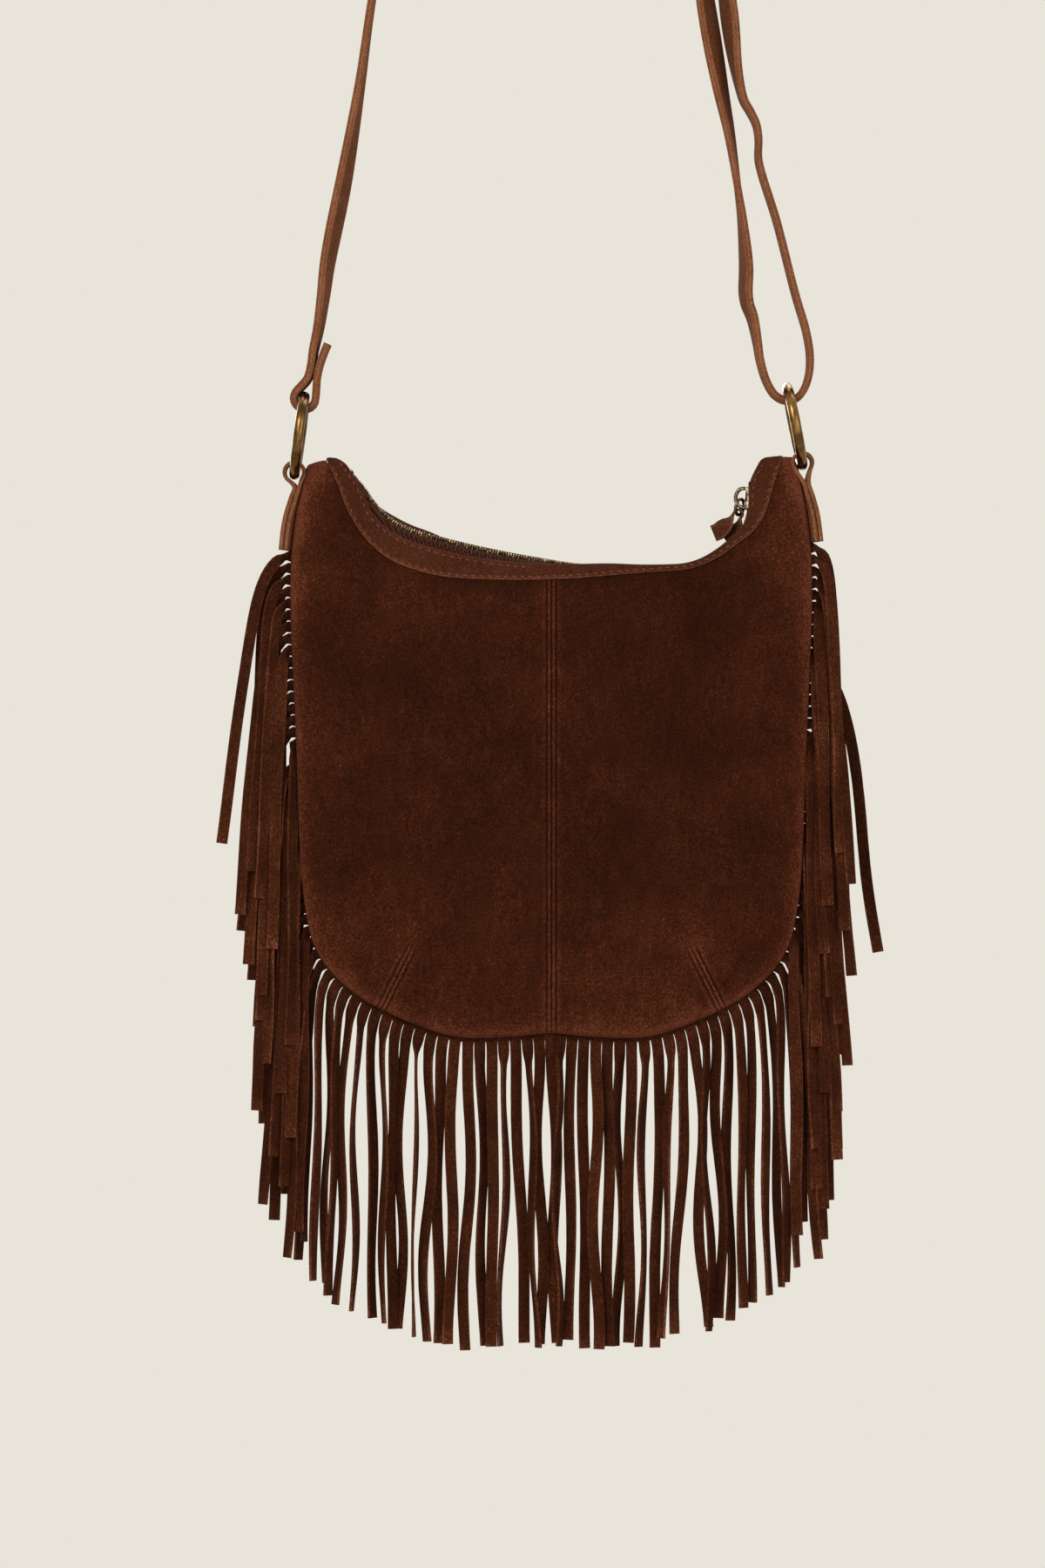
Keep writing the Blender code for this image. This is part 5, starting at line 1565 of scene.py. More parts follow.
@dataclass
class Carriers:
    """What the bag hangs by: rings, tabs, strap and slide."""

    form: BagForm = FORM
    tab: Ribbon = Ribbon(12.0 * MM, 1.9 * MM, fray=0.14 * MM)
    tab_turn: float = math.radians(30)
    strap: Ribbon = Ribbon(14.0 * MM, 3.6 * MM, layers=2)
    tab_bore: float = 3.8 * MM
    tab_lift: float = 1.0 * MM
    tab_top_drop: float = 16.0 * MM
    tab_sewn: float = 25.5 * MM
    tab_closed: float = 3.6 * MM
    tab_tail: float = 3.8 * MM
    tab_gap: float = 0.5 * MM
    strap_bore: float = 3.4 * MM
    strap_drop: float = 1.0 * MM
    crown_height: float = 841.0 * MM
    crown_radius: float = 30.0 * MM
    twists: Sequence[Triple] = (
        (0.092, 0.037, -21), (0.660, 0.034, 30), (0.742, 0.018, -15), (0.918, 0.018, 24))
    bar: float = 1.2 * MM
    clearance: float = 0.3 * MM
    left_end: Knots = ((13.6, 44.0), (12.0, 40.3), (9.7, 33.6), (8.4, 27.4), (8.1, 22.6))
    left_strand: Knots = (
        (-1.7, 20.8), (0.9, 23.6), (4.0, 27.4), (5.8, 33.6), (6.9, 41.0), (9.2, 51.6), (11.5, 67.2),
        (13.6, 83.6), (21.9, 125.6), (29.0, 168.0), (34.9, 210.0), (50.9, 300.6), (69.4, 405.6))
    right_strand: Knots = (
        (-65.4, 401.2), (-55.0, 292.2), (-43.1, 205.6), (-35.9, 163.6), (-31.5, 141.3), (-27.8, 117.0),
        (-25.3, 98.9), (-23.5, 77.2), (-23.7, 64.5), (-22.9, 59.0), (-20.5, 52.4), (-18.3, 41.5),
        (-16.7, 31.5), (-13.7, 21.6), (-9.6, 15.0), (-4.4, 12.4))
    right_return: Knots = (
        (0.6, 13.4), (4.2, 17.4), (6.6, 24.2), (7.3, 33.0), (5.6, 45.0), (0.2, 63.7), (-8.8, 98.9),
        (-12.4, 110.4), (-15.8, 121.1), (-17.6, 129.1), (-17.5, 138.6), (-18.6, 145.4), (-21.4, 151.4),
        (-24.5, 156.8), (-26.4, 163.4), (-28.8, 176.0), (-32.5, 205.6), (-39.6, 251.2))

    def build(self) -> list[Piece]:
        """Makes the rings, the tabs and the strap."""
        made = [ring.build() for ring in RINGS.values()]
        made += [self._tab(side) for side in Side]
        made.append(self._strap())
        return made

    def tab_low(self, side: Side) -> float:
        """Height at which a tab's sewn ends stop."""
        peak = self.form.peaks[0 if side is Side.LEFT else 1]
        return peak - self.tab_top_drop - self.tab_sewn

    def _tab(self, side: Side) -> Piece:
        """A strip folded over the ring's lower wire, its two ends down the side seam.

        Args:
            side: the half of the bag.

        Returns:
            The tab.
        """
        centre = RINGS[side].wire_at(-1) + (0, self.tab_lift)
        radius = self.tab_bore + self.tab.thickness / 2
        points = self.form.outline[side].points
        points = points[: len(points) // 2]
        low = self.tab_low(side) - self.tab_tail
        top = self.tab_low(side) + self.tab_sewn + self.tab_closed
        edge = points[(points[:, 1] >= low) & (points[:, 1] <= top)]
        edge = np.vstack([edge[::3], edge[-1:]])
        inner = edge + (side.value * (0.5 * MM + self.tab.thickness / 2), 0)
        outer = inner + (side.value * (self.tab.thickness + self.tab_gap), 0)
        angles = np.radians(-35 + 250 * np.arange(13) / 12)
        fold = centre + radius * compass(angles) * (-side.value, 1)

        def twist(f: float) -> float:
            """Both legs turn a little, so that their faces show to the front."""
            return -side.value * math.copysign(self.tab_turn, f - 0.5) * smooth((abs(f - 0.5) - 0.1) / 0.3)

        node = f"tab_{side.word}"
        route = np.vstack([inner[::-1], fold, outer])
        return seated(self.tab.build(f"{node}_suede", route, Finish.STRAP, twist), "bag_body", node)

    @staticmethod
    def _from_ring(side: Side, knots: Knots) -> Array:
        """Route knots in mm from a ring's centre, in the bag's frame."""
        return np.array(RINGS[side].centre) + np.array(knots) * MM

    @staticmethod
    def _bend(centre: Array, radius: float, start: float, turn: float, count: int = 9) -> Array:
        """Knots along an arc, angles in degrees."""
        return centre + radius * compass(np.radians(start + turn * np.arange(count) / (count - 1)))

    def _route(self) -> Array:
        """The strap's centre line from its sewn end to the end held by the slide."""
        thick = self.strap.thickness
        bend = self.strap_bore + thick / 2
        drop = np.array((0, self.strap_drop))
        crown = np.array((0, self.crown_height - self.crown_radius))
        strand = self._from_ring(Side.RIGHT, self.right_strand)
        low = strand[1]
        t = (strand[0] - low) / np.linalg.norm(strand[0] - low)
        n = np.array((t[1], -t[0]))
        near = thick + self.clearance
        wrap = self.bar + self.clearance + thick / 2
        a = np.radians(-10 + 190 * np.arange(9) / 8)[:, None]
        return np.vstack([
            self._from_ring(Side.LEFT, self.left_end),
            self._bend(RINGS[Side.LEFT].wire_at(1) - drop, bend, 0, -180),
            self._from_ring(Side.LEFT, self.left_strand),
            self._bend(crown, self.crown_radius + thick / 2, 170, -160, 11),
            strand,
            self._from_ring(Side.RIGHT, self.right_return),
            [low - t * 20 * MM + n * (near + thick + 1.0 * MM)],
            low + n * (near + wrap + wrap * np.cos(a)) + t * wrap * np.sin(a),
            [low - t * 7 * MM + n * near, low - t * 16 * MM + n * near],
        ])

    def _strap(self) -> Piece:
        """Two layers of suede sewn together, one long strip."""
        def twist(f: float) -> float:
            """The strap's turn about its own line, where it shows a face to the front."""
            return sum(math.radians(turn) * math.exp(-(((f - at) / span) ** 2))
                       for at, span, turn in self.twists)

        piece = self.strap.build("strap_suede", self._route(), Finish.STRAP, twist)
        return seated(piece, "strap_body", "strap")


def joined(name: str, meshes: Sequence[Mesh], finish: Finish) -> Piece:
    """One piece made of several closed solids, with its sharper edges kept.

    Args:
        name: the piece's name.
        meshes: the solids.
        finish: their finish.

    Returns:
        The piece.
    """
    bm = bmesh.new()
    for mesh in meshes:
        bm.from_mesh(mesh)
    out = bpy.data.meshes.new(name)
    bm.to_mesh(out)
    bm.free()
    out.set_sharp_from_angle(angle=math.radians(42))
    return dress(new_object(name, out), finish)


@dataclass
class Zip:
    """The closed zip: tapes, teeth, stops, slider, pull ring and suede pull."""

    form: BagForm = FORM
    yokes: Yokes = field(default_factory=Yokes)
    pitch: float = 2.54 * MM
    reach: float = 1.05 * MM
    back: float = 2.4 * MM
    tooth_width: float = 0.98 * MM
    tooth_height: float = 1.1 * MM
    start: float = 3.2 * MM
    end: float = 7.0 * MM
    tape: float = 0.5 * MM
    tape_start: float = 1.9 * MM
    tape_lines: Triple = (1.1 * MM, 2.0 * MM, 3.8 * MM)
    tape_hidden: Pair = (6.0 * MM, 7.4 * MM)
    gap: float = 0.3 * MM
    stop_length: float = 2.0 * MM
    stop_reach: Pair = (1.2 * MM, 3.4 * MM)
    stop_edge: float = 0.2 * MM
    slider_length: float = 11.5 * MM
    slider_half: Pair = (4.3 * MM, 2.7 * MM)
    plate: float = 1.1 * MM
    slot: float = 0.6 * MM
    bail: Triple = (4.9 * MM, 2.1 * MM, 1.9 * MM)
    ring: Triple = (3.2 * MM, 0.85 * MM, 1.2)
    ring_tilt: float = math.radians(11)
    ring_turn: float = math.radians(38)
    pull_turn: float = math.radians(58)
    dip_knots: Knots = ((-4, 4.6), (1, 4.2), (5, 2.6), (9, 1.0), (14, 0.1), (18, 0), (260, 0))
    roll_knots: Knots = (
        (-4, 0), (8, 4), (25, 26), (50, 36), (95, 36), (120, 22), (140, 8), (160, 0), (260, 0))
    pull: Ribbon = Ribbon(9.4 * MM, 1.2 * MM, step=0.5 * MM, fray=0.16 * MM)
    pull_bore: float = 1.6 * MM
    pull_neck: float = 0.5

    def build(self) -> list[Piece]:
        """Makes the zip's pieces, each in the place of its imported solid."""
        made = []
        for face in Face:
            made.append(seated(self._tape(face), "bag_body", f"zip_tape_{face.word}"))
            made.append(seated(self._teeth(face), "bag_body", f"zip_teeth_{face.word}"))
        stops = ("zip_end_stop", "zip_top_stop_front", "zip_top_stop_back")
        made.append(seated(self._stops(), "bag_body", *stops))
        made.append(seated(self._slider(), "slider_body", "zip_slider"))
        made.append(seated(self._pull_ring(), "pull_ring_body", "zip_pull_ring"))
        made.append(seated(self._pull(), "pull_body", "zip_pull"))
        return made

    def _dip(self, s: Numbers) -> Array:
        """How far the zip dives behind the front yoke at its left-hand end."""
        return along(self.dip_knots, s)

    def _roll(self, s: Numbers) -> Array:
        """How far the chain is rolled towards the front, where the front yoke's crest lies low."""
        return along(self.roll_knots, s) / MM * math.pi / 180

    def _place(self, s: float, y: float, n: float) -> Vector:
        """A point of the chain, rolled and dipped as the chain is.

        Args:
            s: its length on the zip line.
            y: its distance across the line, towards the back.
            n: its height above the line.

        Returns:
            The point.
        """
        roll = float(self._roll(s))
        rise = n * math.cos(roll) + y * math.sin(roll)
        p = self.form.zip_path.at(s) + self.form.zip_path.normal(s) * (rise - float(self._dip(s)))
        return Vector((p[0], y * math.cos(roll) - n * math.sin(roll), p[1]))

    def _tape(self, face: Face) -> Piece:
        """The woven tape of one side, with the beaded edge that the teeth hold.

        Args:
            face: the front or the back.

        Returns:
            The tape.
        """
        inner, leg, flat = self.tape_lines
        length = self.form.zip_path.length
        points = []
        stations = np.linspace(self.tape_start, length - self.tape_start, 181)
        for s, section in zip(stations, self.yokes.sections(stations, face)):
            high = float(self.form.crest(s, face))
            low = min(high - 2.6 * MM, -0.9 * MM)
            hidden = min(section[2][1] - self.form.yoke_suede - 2 * self.gap,
                         mix(*self.tape_hidden, self.yokes.rolled(high)))
            turn = float(self._roll(s))
            held = [(y * math.cos(turn), y * face.value * math.sin(turn)) for y in (inner, leg)]
            slope = (min(held[1][1], 0.3 * MM) - 0.5 * MM * (1 + math.sin(turn)))
            for y, n in spline([*held, (flat, slope), (hidden, low)], 4):
                p = self.form.zip_path.at(s) + self.form.zip_path.normal(s) * (n - float(self._dip(s)))
                points.append((p[0], face.value * y, p[1]))
        columns = len(points) // len(stations)
        faces = grid_faces(len(stations), columns, flip=face is Face.FRONT)
        sheet = new_mesh("tape", points, faces)
        return thickened(f"zip_tape_{face.word}_woven", sheet, Finish.TAPE, self.tape)

    def _teeth(self, face: Face) -> Piece:
        """One row of cast teeth; those of one side stand in the gaps of the other.

        Args:
            face: the front or the back.

        Returns:
            The row of teeth.
        """
        count = int((self.form.zip_path.length - self.start - self.end) / self.pitch - 0.5)
        shift = 0.0 if face is Face.FRONT else self.pitch / 2
        s = self.start + shift + (np.arange(count) + 0.5) * self.pitch
        flat = self.form.zip_path.at(s) - self.form.zip_path.normal(s) * self._dip(s)[:, None]
        ahead = self.form.zip_path.tangent(s) * -face.value
        roll = self._roll(s)
        up = self.form.zip_path.normal(s) * np.cos(roll)[:, None]
        row = Row(at_depth(flat, 0.0), at_depth(ahead, 0.0), at_depth(up, -np.sin(roll)))
        return repeat(f"zip_teeth_{face.word}_cast", [row], self._tooth(), Finish.TEETH)

    def _tooth(self) -> Piece:
        """One tooth: a rounded block that tapers to its head."""
        half, high = self.tooth_width / 2, self.tooth_height
        stations = (
            (-1.0, 0.55, 0.6), (-0.93, 0.84, 0.84), (-0.72, 1.0, 0.97), (-0.2, 1.0, 1.0), (0.25, 1.0, 1.0),
            (0.6, 0.9, 0.96), (1.0, 0.82, 0.9), (1.5, 0.8, 0.86), (1.74, 0.7, 0.78), (1.82, 0.45, 0.52))
        points = [(x * self.reach, c * half * wide, v * high * tall)
                  for x, wide, tall in stations for c, v in rounded_square(12, 0.7)]
        mesh = bpy.data.meshes.new("tooth")
        mesh.from_pydata(points, [], tube_faces(len(stations), 12))
        outward(mesh).shade_smooth()
        return new_object("tooth", mesh)

    def _block(self, name: str, s: Pair, y: Pair, n: Pair, soft: float) -> Mesh:
        """A block beside the zip line, following the line's curve.

        Args:
            name: the mesh's name.
            s: where it starts and ends along the line.
            y: its two sides across the line.
            n: its underside and its top above the line.
            soft: how far its ends are rounded.

        Returns:
            The mesh.
        """
        sections = []
        for f, inset in ((0, 1.0), (0.04, 0.4), (0.12, 0.0), (0.5, 0.0), (0.88, 0.0), (0.96, 0.4), (1, 1.0)):
            wide = abs(y[1] - y[0]) / 2 - inset * soft
            tall = abs(n[1] - n[0]) / 2 - inset * soft
            sections.append([self._place(mix(*s, f), sum(y) / 2 + c * wide, sum(n) / 2 + v * tall)
                             for c, v in rounded_square(16, 0.8)])
        return lofted(name, sections)

    @property
    def _slider_span(self) -> Pair:
        """Lengths on the zip line at the slider's tail and nose."""
        end = self.form.zip_path.length - self.end + 2.2 * MM + 2 * self.gap
        return end - self.slider_length, end

    def _stops(self) -> Piece:
        """Crimped blocks that end the teeth: one at the left, two at the right."""
        low, high = self.tape / 2 + self.gap, self.tooth_height
        start = self._slider_span[1] + self.gap
        inner, outer = self.stop_reach
        first = (self.start - self.gap - self.stop_length, self.start - self.gap)
        last = (start, start + self.stop_length)
        blocks = [self._block("stop", along_zip, across, (low, high), self.stop_edge)
                  for along_zip, across in ((first, (-outer, outer)), (last, (-inner, -outer)),
                                            (last, (inner, outer)))]
        return joined("zip_stops_cast", blocks, Finish.TEETH)

    def _slider(self) -> Piece:
        """Two flanged plates, narrower at the tail, a post at the nose and a cast bail."""
        s0, s1 = self._slider_span
        w, h = self.slider_half
        solids = []
        for way in (1, -1):
            sections = []
            for f, share in ((0.0, 0.7), (0.03, 0.8), (0.1, 0.86), (0.3, 0.9), (0.6, 1.0), (0.85, 1.0),
                             (0.94, 0.94), (0.985, 0.8), (1.0, 0.66)):
                edge = w * share
                crown = h - (0.12 + 0.5 * (abs(f - 0.5) * 2) ** 6) * MM
                wall = edge - 0.9 * MM
                ring = [(edge, self.slot), (edge, crown - 0.55 * MM), (edge - 0.16 * MM, crown - 0.2 * MM),
                        (edge - 0.5 * MM, crown), (edge * 0.4, crown + 0.12 * MM)]
                ring += [(-y, n) for y, n in reversed(ring)]
                under = h - self.plate
                ring += [(-wall, self.slot), (-wall, under), (wall, under), (wall, self.slot)]
                sections.append([self._place(mix(s0, s1, f), y, way * n) for y, n in ring])
            solids.append(lofted("plate", sections))
        solids.append(self._block("post", (s1 - 2.2 * MM, s1 - 0.2 * MM), (-0.8 * MM, 0.8 * MM),
                                  (0.3 * MM - h, h - 0.3 * MM), 0.1 * MM))
        solids.append(self._bail((s0 + s1) / 2))
        return joined("zip_slider_cast", solids, Finish.NICKEL)

    def _bail(self, mid: float) -> Mesh:
        """The arch on the slider that holds the pull ring."""
        height, width, wire = self.bail
        reach = self.slider_length / 2 - 0.8 * MM
        sections = []
        for i in range(33):
            a = math.pi * i / 32
            ring = []
            for c, v in rounded_square(12, 0.0):
                r, y = c * wire / 2, v * width / 2
                rise = max((height + r) * math.sin(a) ** 0.7, 0.0) - 0.5 * MM
                ring.append(self._place(mid - (reach + r) * math.cos(a), y, self.slider_half[1] + rise))
            sections.append(ring)
        return lofted("bail", sections)

    @property
    def _seat(self) -> Vector:
        """Where the pull ring's wire hangs inside the bail."""
        return self._place(self._slider_span[1] - 6.25 * MM, 0.0, self.slider_half[1] + 1.7 * MM)

    def _pull_ring(self) -> Piece:
        """A small oval ring that hangs from the bail."""
        radius, wire, stretch = self.ring
        tilt = self.ring_tilt
        centre = self._seat - Vector((math.sin(tilt), 0, math.cos(tilt))) * radius * stretch
        ring = torus("pull_ring", (centre.x, centre.z), tilt, radius, wire, stretch, self.ring_turn)
        return joined("zip_pull_ring_cast", [ring], Finish.NICKEL)

    def _pull(self) -> Piece:
        """A strip of suede doubled through the pull ring, its two tails curled apart."""
        radius, wire, stretch = self.ring
        tilt = self.ring_tilt
        low = self._seat - Vector((math.sin(tilt), 0, math.cos(tilt))) * 2 * radius * stretch
        low = np.array((low.x, low.z))
        bend = self.pull_bore + self.pull.thickness / 2
        centre = low + (0, self.pull_bore - wire - 0.45 * MM)
        fold = centre + bend * compass(np.radians(165 - 225 * np.arange(8) / 7))
        upper = low + np.array(((-12.0, -9.0), (-9.6, -8.0), (-6.4, -5.2), (-3.6, -2.0))) * MM
        lower = low + np.array(((0.4, -4.2), (-1.0, -7.6), (-3.2, -10.4), (-6.0, -12.4))) * MM
        route = np.vstack([upper, fold, lower])

        def narrow(f: float) -> float:
            """The strip is cut narrower where it passes the ring."""
            return self.pull_neck + (1 - self.pull_neck) * smooth((abs(f - 0.5) - 0.12) / 0.16)

        def twist(f: float) -> float:
            """Each tail turns a face to the front, the two of them opposite ways."""
            return math.copysign(self.pull_turn, 0.5 - f) * smooth((abs(f - 0.5) - 0.08) / 0.3)

        return self.pull.build("zip_pull_suede", route, Finish.PULL, twist, narrow)


def torus(name: str, centre: Pair, lean: float, radius: float, wire: float, stretch: float = 1.0,
          turn: float = 0.0) -> Mesh:
    """A ring leant about Y, its wire slightly uneven.

    Args:
        name: the mesh's name.
        centre: the ring's centre in the x-z plane.
        lean: how far its length leans from upright.
        radius: radius of the wire's centre line across the ring.
        wire: half the wire's thickness.
        stretch: length over width.
        turn: how far it is turned about its length, out of the y-z plane.

    Returns:
        The mesh.
    """
    x, z = centre
    points = []
    for i in range(120):
        a = 2 * math.pi * i / 120
        out = Vector((stretch * math.sin(a), math.cos(a))).normalized()
        for k in range(28):
            b = 2 * math.pi * k / 28
            worn = noise.noise(Vector((5 * math.cos(a), 5 * math.sin(a), k / 6 + lean)))
            r = wire * (0.985 + 0.015 * worn)
            y = radius * math.sin(a) + out.x * r * math.cos(b)
            u = radius * stretch * math.cos(a) + out.y * r * math.cos(b)
            w = r * math.sin(b)
            y, w = y * math.cos(turn) - w * math.sin(turn), y * math.sin(turn) + w * math.cos(turn)
            points.append((x + w * math.cos(lean) + u * math.sin(lean), y,
                           z - w * math.sin(lean) + u * math.cos(lean)))
    return outward(new_mesh(name, points, tube_faces(120, 28, closed=True)))


class Strip:
    """The centre line, width direction and facing of one fringe strip."""

    pitch = 5.6 * MM
    slit = 0.3 * MM
    length = 147.0 * MM
    inside = 6.0 * MM
    outside = 3.0 * MM
    side_outside = 1.2 * MM
    slit_run = 3.0 * MM
    columns = (1.3 * MM, 7.6 * MM, 4.4 * MM, 10.4 * MM)
    column_spread = 1.2 * MM
    corner_reach = 9.0 * MM
    side_layer = 2.0 * MM
    bottom_layer = 2.3 * MM
    side_growth = 0.055
    open_slots = ((Side.LEFT, 156.0 * MM, 3.3 * MM), (Side.RIGHT, 207.0 * MM, 3.3 * MM))
    first = {Side.LEFT: (15.0, 12.6, 10.4, 8.6, 7.2), Side.RIGHT: (8.6, 8.6, 8.0, 7.2, 6.4)}
    side_lean = (math.radians(0.6), math.radians(3.6))
    turns = (8, -24, 52, -10, 68, 18, -60, 30, -5, 74, -38, 12)
    strays = ((0.004, 15.0 * MM, 7.6), (0.905, 15.0 * MM, 7.4))
    partings = ((-86.0, 2.0), (-54.0, 2.0), (-37.0, 3.0), (-21.0, 5.0), (12.0, 1.5), (61.0, 6.5),
                (96.0, 2.0))
    parting_span = 17.0 * MM
    calm = 12.0 * MM
    turn_length = 13.0 * MM
    wave_length = 105.0 * MM
    sway = math.radians(6.5)
    side_sway = 0.45
    side_turn = 0.6
    corner_turn = math.radians(57)
    root_turn = math.radians(50)
    root_at = 3.2 * MM
    root_span = 3.6 * MM
    top_reach = 0.45
    top_span = 55.0 * MM

    def __init__(self, edge: Path, index: int, count: int, rng: random.Random) -> None:
        """Settles how the strip at one place of the perimeter hangs.

        Args:
            edge: the perimeter.
            index: the strip's number, from the left tab.
            count: the number of strips.
            rng: the source of what differs from strip to strip.
        """
        share = (index + 0.5) / count
        self.root = edge.at(edge.length * share)
        self.out = -edge.normal(edge.length * share)
        self.flat = smooth((abs(self.out[0]) - 0.35) / 0.6)
        steep = smooth((abs(self.out[0]) - 0.75) / 0.22)
        self.start = mix(self.outside, self.side_outside, self.flat)
        column = self.columns[(index // 2) % len(self.columns)] + rng.uniform(-1, 1) * self.column_spread
        near = min(index, count - 1 - index)
        for place, low, push in self.open_slots:
            if self.root[0] * place.value > 0 and self.root[1] > low:
                column += push
        self.reach = column * steep + self.corner_reach * (1 - steep)
        if self.root[0] > 0:
            high = smooth((edge.length * (1 - share) + 6 * MM) / self.top_span)
            self.reach *= mix(self.top_reach, 1.0, high)
        first = self.first[Side.RIGHT if self.root[0] > 0 else Side.LEFT]
        if near < len(first):
            self.reach = first[near] * MM
        self.layer = (1 if index % 2 else -1) if self.flat > 0.35 else (index % 3) - 1
        self.wave = rng.uniform(0.25, 1) * (1 if index % 2 else -1)
        self.phase = rng.uniform(0, 2 * math.pi)
        swing = math.atan2(self.out[1], self.out[0]) + math.pi / 2
        self.swing = (swing + math.pi) % (2 * math.pi) - math.pi
        turn = math.radians(self.turns[index % len(self.turns)] * rng.uniform(0.8, 1.15))
        turn *= 1 - (1 - self.side_turn) * self.flat
        corner = self.corner_turn * abs(math.sin(2 * self.swing))
        self.turn = math.copysign(max(abs(turn), corner), turn)
        self.reach_down = self.length * rng.uniform(0.985, 1.015)
        side = math.copysign(1.0, self.root[0])
        gaps = [(self.root[0] - place * MM, push * MM) for place, push in self.partings]
        shift = sum(math.copysign(push, gap) * math.exp(-abs(gap) / self.parting_span) for gap, push in gaps)
        self.lean = shift / self.length * (1 - self.flat)
        self.lean += self.flat * side * mix(*self.side_lean, column / self.columns[3])
        for place, reach, lean in self.strays:
            if abs(share - place) < 0.5 / count:
                self.reach = reach
                self.lean = side * math.radians(lean)
                self.turn = 0.0
        self.root_open = self.root_turn * (1 + 0.3 * math.exp(-near / 4))
        self.seed = index * 1.7

    def _direction(self, s: float) -> float:
        """Angle of travel in the x-z plane at length s."""
        angle = self.swing * math.exp(-1.37 * s / self.reach) - math.pi / 2
        sway = self.sway * self.wave * (1 - (1 - self.side_sway) * self.flat)
        sway *= math.sin(2 * math.pi * s / self.wave_length + self.phase)
        return angle + (sway + self.lean) * smooth(s / (2 * self.calm))

    def _depth(self, s: float) -> float:
        """How far from the middle plane the strip hangs at length s."""
        layer = mix(self.bottom_layer, self.side_layer, self.flat)
        return self.layer * (layer * smooth(s / self.calm) + self.side_growth * self.flat * s)

    def sections(self, steps: int, across: Sequence[float]) -> list[list[Vector]]:
        """Points across the strip at even lengths.

        Args:
            steps: the number of spans from root to tip.
            across: places across the width, from -1 to 1.

        Returns:
            The points of each cross-section, root first.
        """
        fine = 8 * steps
        step = self.reach_down / fine
        marks = {round(fine * (k / steps) ** 1.5) for k in range(steps + 1)}
        p = Vector(self.root) + Vector(self.out) * self.start
        rows = []
        for i in range(fine + 1):
            s = i * step
            angle = self._direction(s)
            ahead = Vector((math.cos(angle), math.sin(angle)))
            if i in marks:
                free = smooth(s / (3 * self.calm))
                half = (self.pitch - self.slit * smooth(s / self.slit_run)) / 2
                turn = self.turn * smooth(s / self.turn_length)
                turn += 0.16 * free * math.sin(s / 0.017 + self.seed)
                turn += self.flat * self.root_open * math.exp(-((s - self.root_at) / self.root_span) ** 2)
                wide = Vector((-ahead.y * math.cos(turn), math.sin(turn), ahead.x * math.cos(turn)))
                face = Vector((ahead.y * math.sin(turn), math.cos(turn), -ahead.x * math.sin(turn)))
                centre = Vector((p.x, self._depth(s), p.y))
                cup = 0.28 * MM * free * math.sin(self.seed + s / 0.06)
                rows.append([self._across(centre, wide * half, face, cup, a, s, free) for a in across])
            p = p + ahead * step
        return rows

    def _across(self, centre: Vector, wide: Vector, face: Vector, cup: float, a: float, s: float,
                free: float) -> Vector:
        """One point of a cross-section, with the strip's cupping and uneven cut edge."""
        rough = 1 + free * 0.035 * noise.noise(Vector((s / 0.004, a * 3, self.seed)))
        return centre + wide * a * rough + face * cup * (1 - a * a)


@dataclass
class Fringe:
    """One band of suede cut into strips up to a narrow heading, sewn into the perimeter seam."""

    form: BagForm = FORM
    carriers: Carriers = field(default_factory=Carriers)
    suede: float = 1.3 * MM
    seed: int = 7
    steps: int = 34
    across: tuple[float, ...] = (-1.0, -0.84, 0.0, 0.84, 1.0)
    lift: float = 3.4 * MM
    edge_wear: float = 0.42

    def edge(self) -> Path:
        """The perimeter from behind the left tab's end, round the bottom, to the right tab's."""
        parts = []
        for side, order in ((Side.LEFT, 1), (Side.RIGHT, -1)):
            points = self.form.outline[side].points
            low = self.carriers.tab_low(side) - 2.0 * MM + self.lift
            middle = 0 if side is Side.RIGHT else -1e-12
            keep = (points[:, 1] <= low) & (side.value * points[:, 0] > middle)
            parts.append(points[keep][::order])
        return Path(np.vstack(parts))

    def build(self) -> list[Piece]:
        """Makes the fringe as one sheet with its strips cut free."""
        rng = random.Random(self.seed)
        edge = self.edge()
        count = round((edge.length - 2 * self.lift) / Strip.pitch)
        strips = [Strip(edge, i, count, rng) for i in range(count)]
        points: list[Sequence[float]] = []
        wear: list[float] = []
        faces: list[Sequence[int]] = []
        for i in range(count + 1):
            s = edge.length * i / count
            p = edge.at(s) + edge.normal(s) * Strip.inside
            points.append((p[0], 0.0, p[1]))
            # The heading is drawn darker: painted shadow under the panels' bottom edge.
            wear.append(-0.1)
        wide = len(self.across)
        last = None
        for i, strip in enumerate(strips):
            start = len(points)
            tone = 0.3 * rng.random() - 0.08
            for k, row in enumerate(strip.sections(self.steps, self.across)):
                tip = smooth(1 - (self.steps - k) / 1.5)
                bare = self.edge_wear * smooth((k - 2) / 5)
                for a, p in zip(self.across, row):
                    points.append(p)
                    wear.append(min(1.0, tone + (bare if abs(a) == 1 else 0.0) + 0.3 * tip))
            faces.append((i, *range(start, start + wide), i + 1))
            if last is not None:
                faces.append((i, last, start))
            last = start + wide - 1
            faces += grid_faces(self.steps + 1, wide, start, flip=True)
        mesh = new_mesh("fringe_suede", points, faces)
        set_values(mesh, "wear", wear)
        piece = thickened("fringe_suede", mesh, Finish.FRINGE, self.suede, offset=0.0)
        piece.data.set_sharp_from_angle(angle=math.radians(50))
        seated(piece, "bag_body", "fringe")
        return [piece]


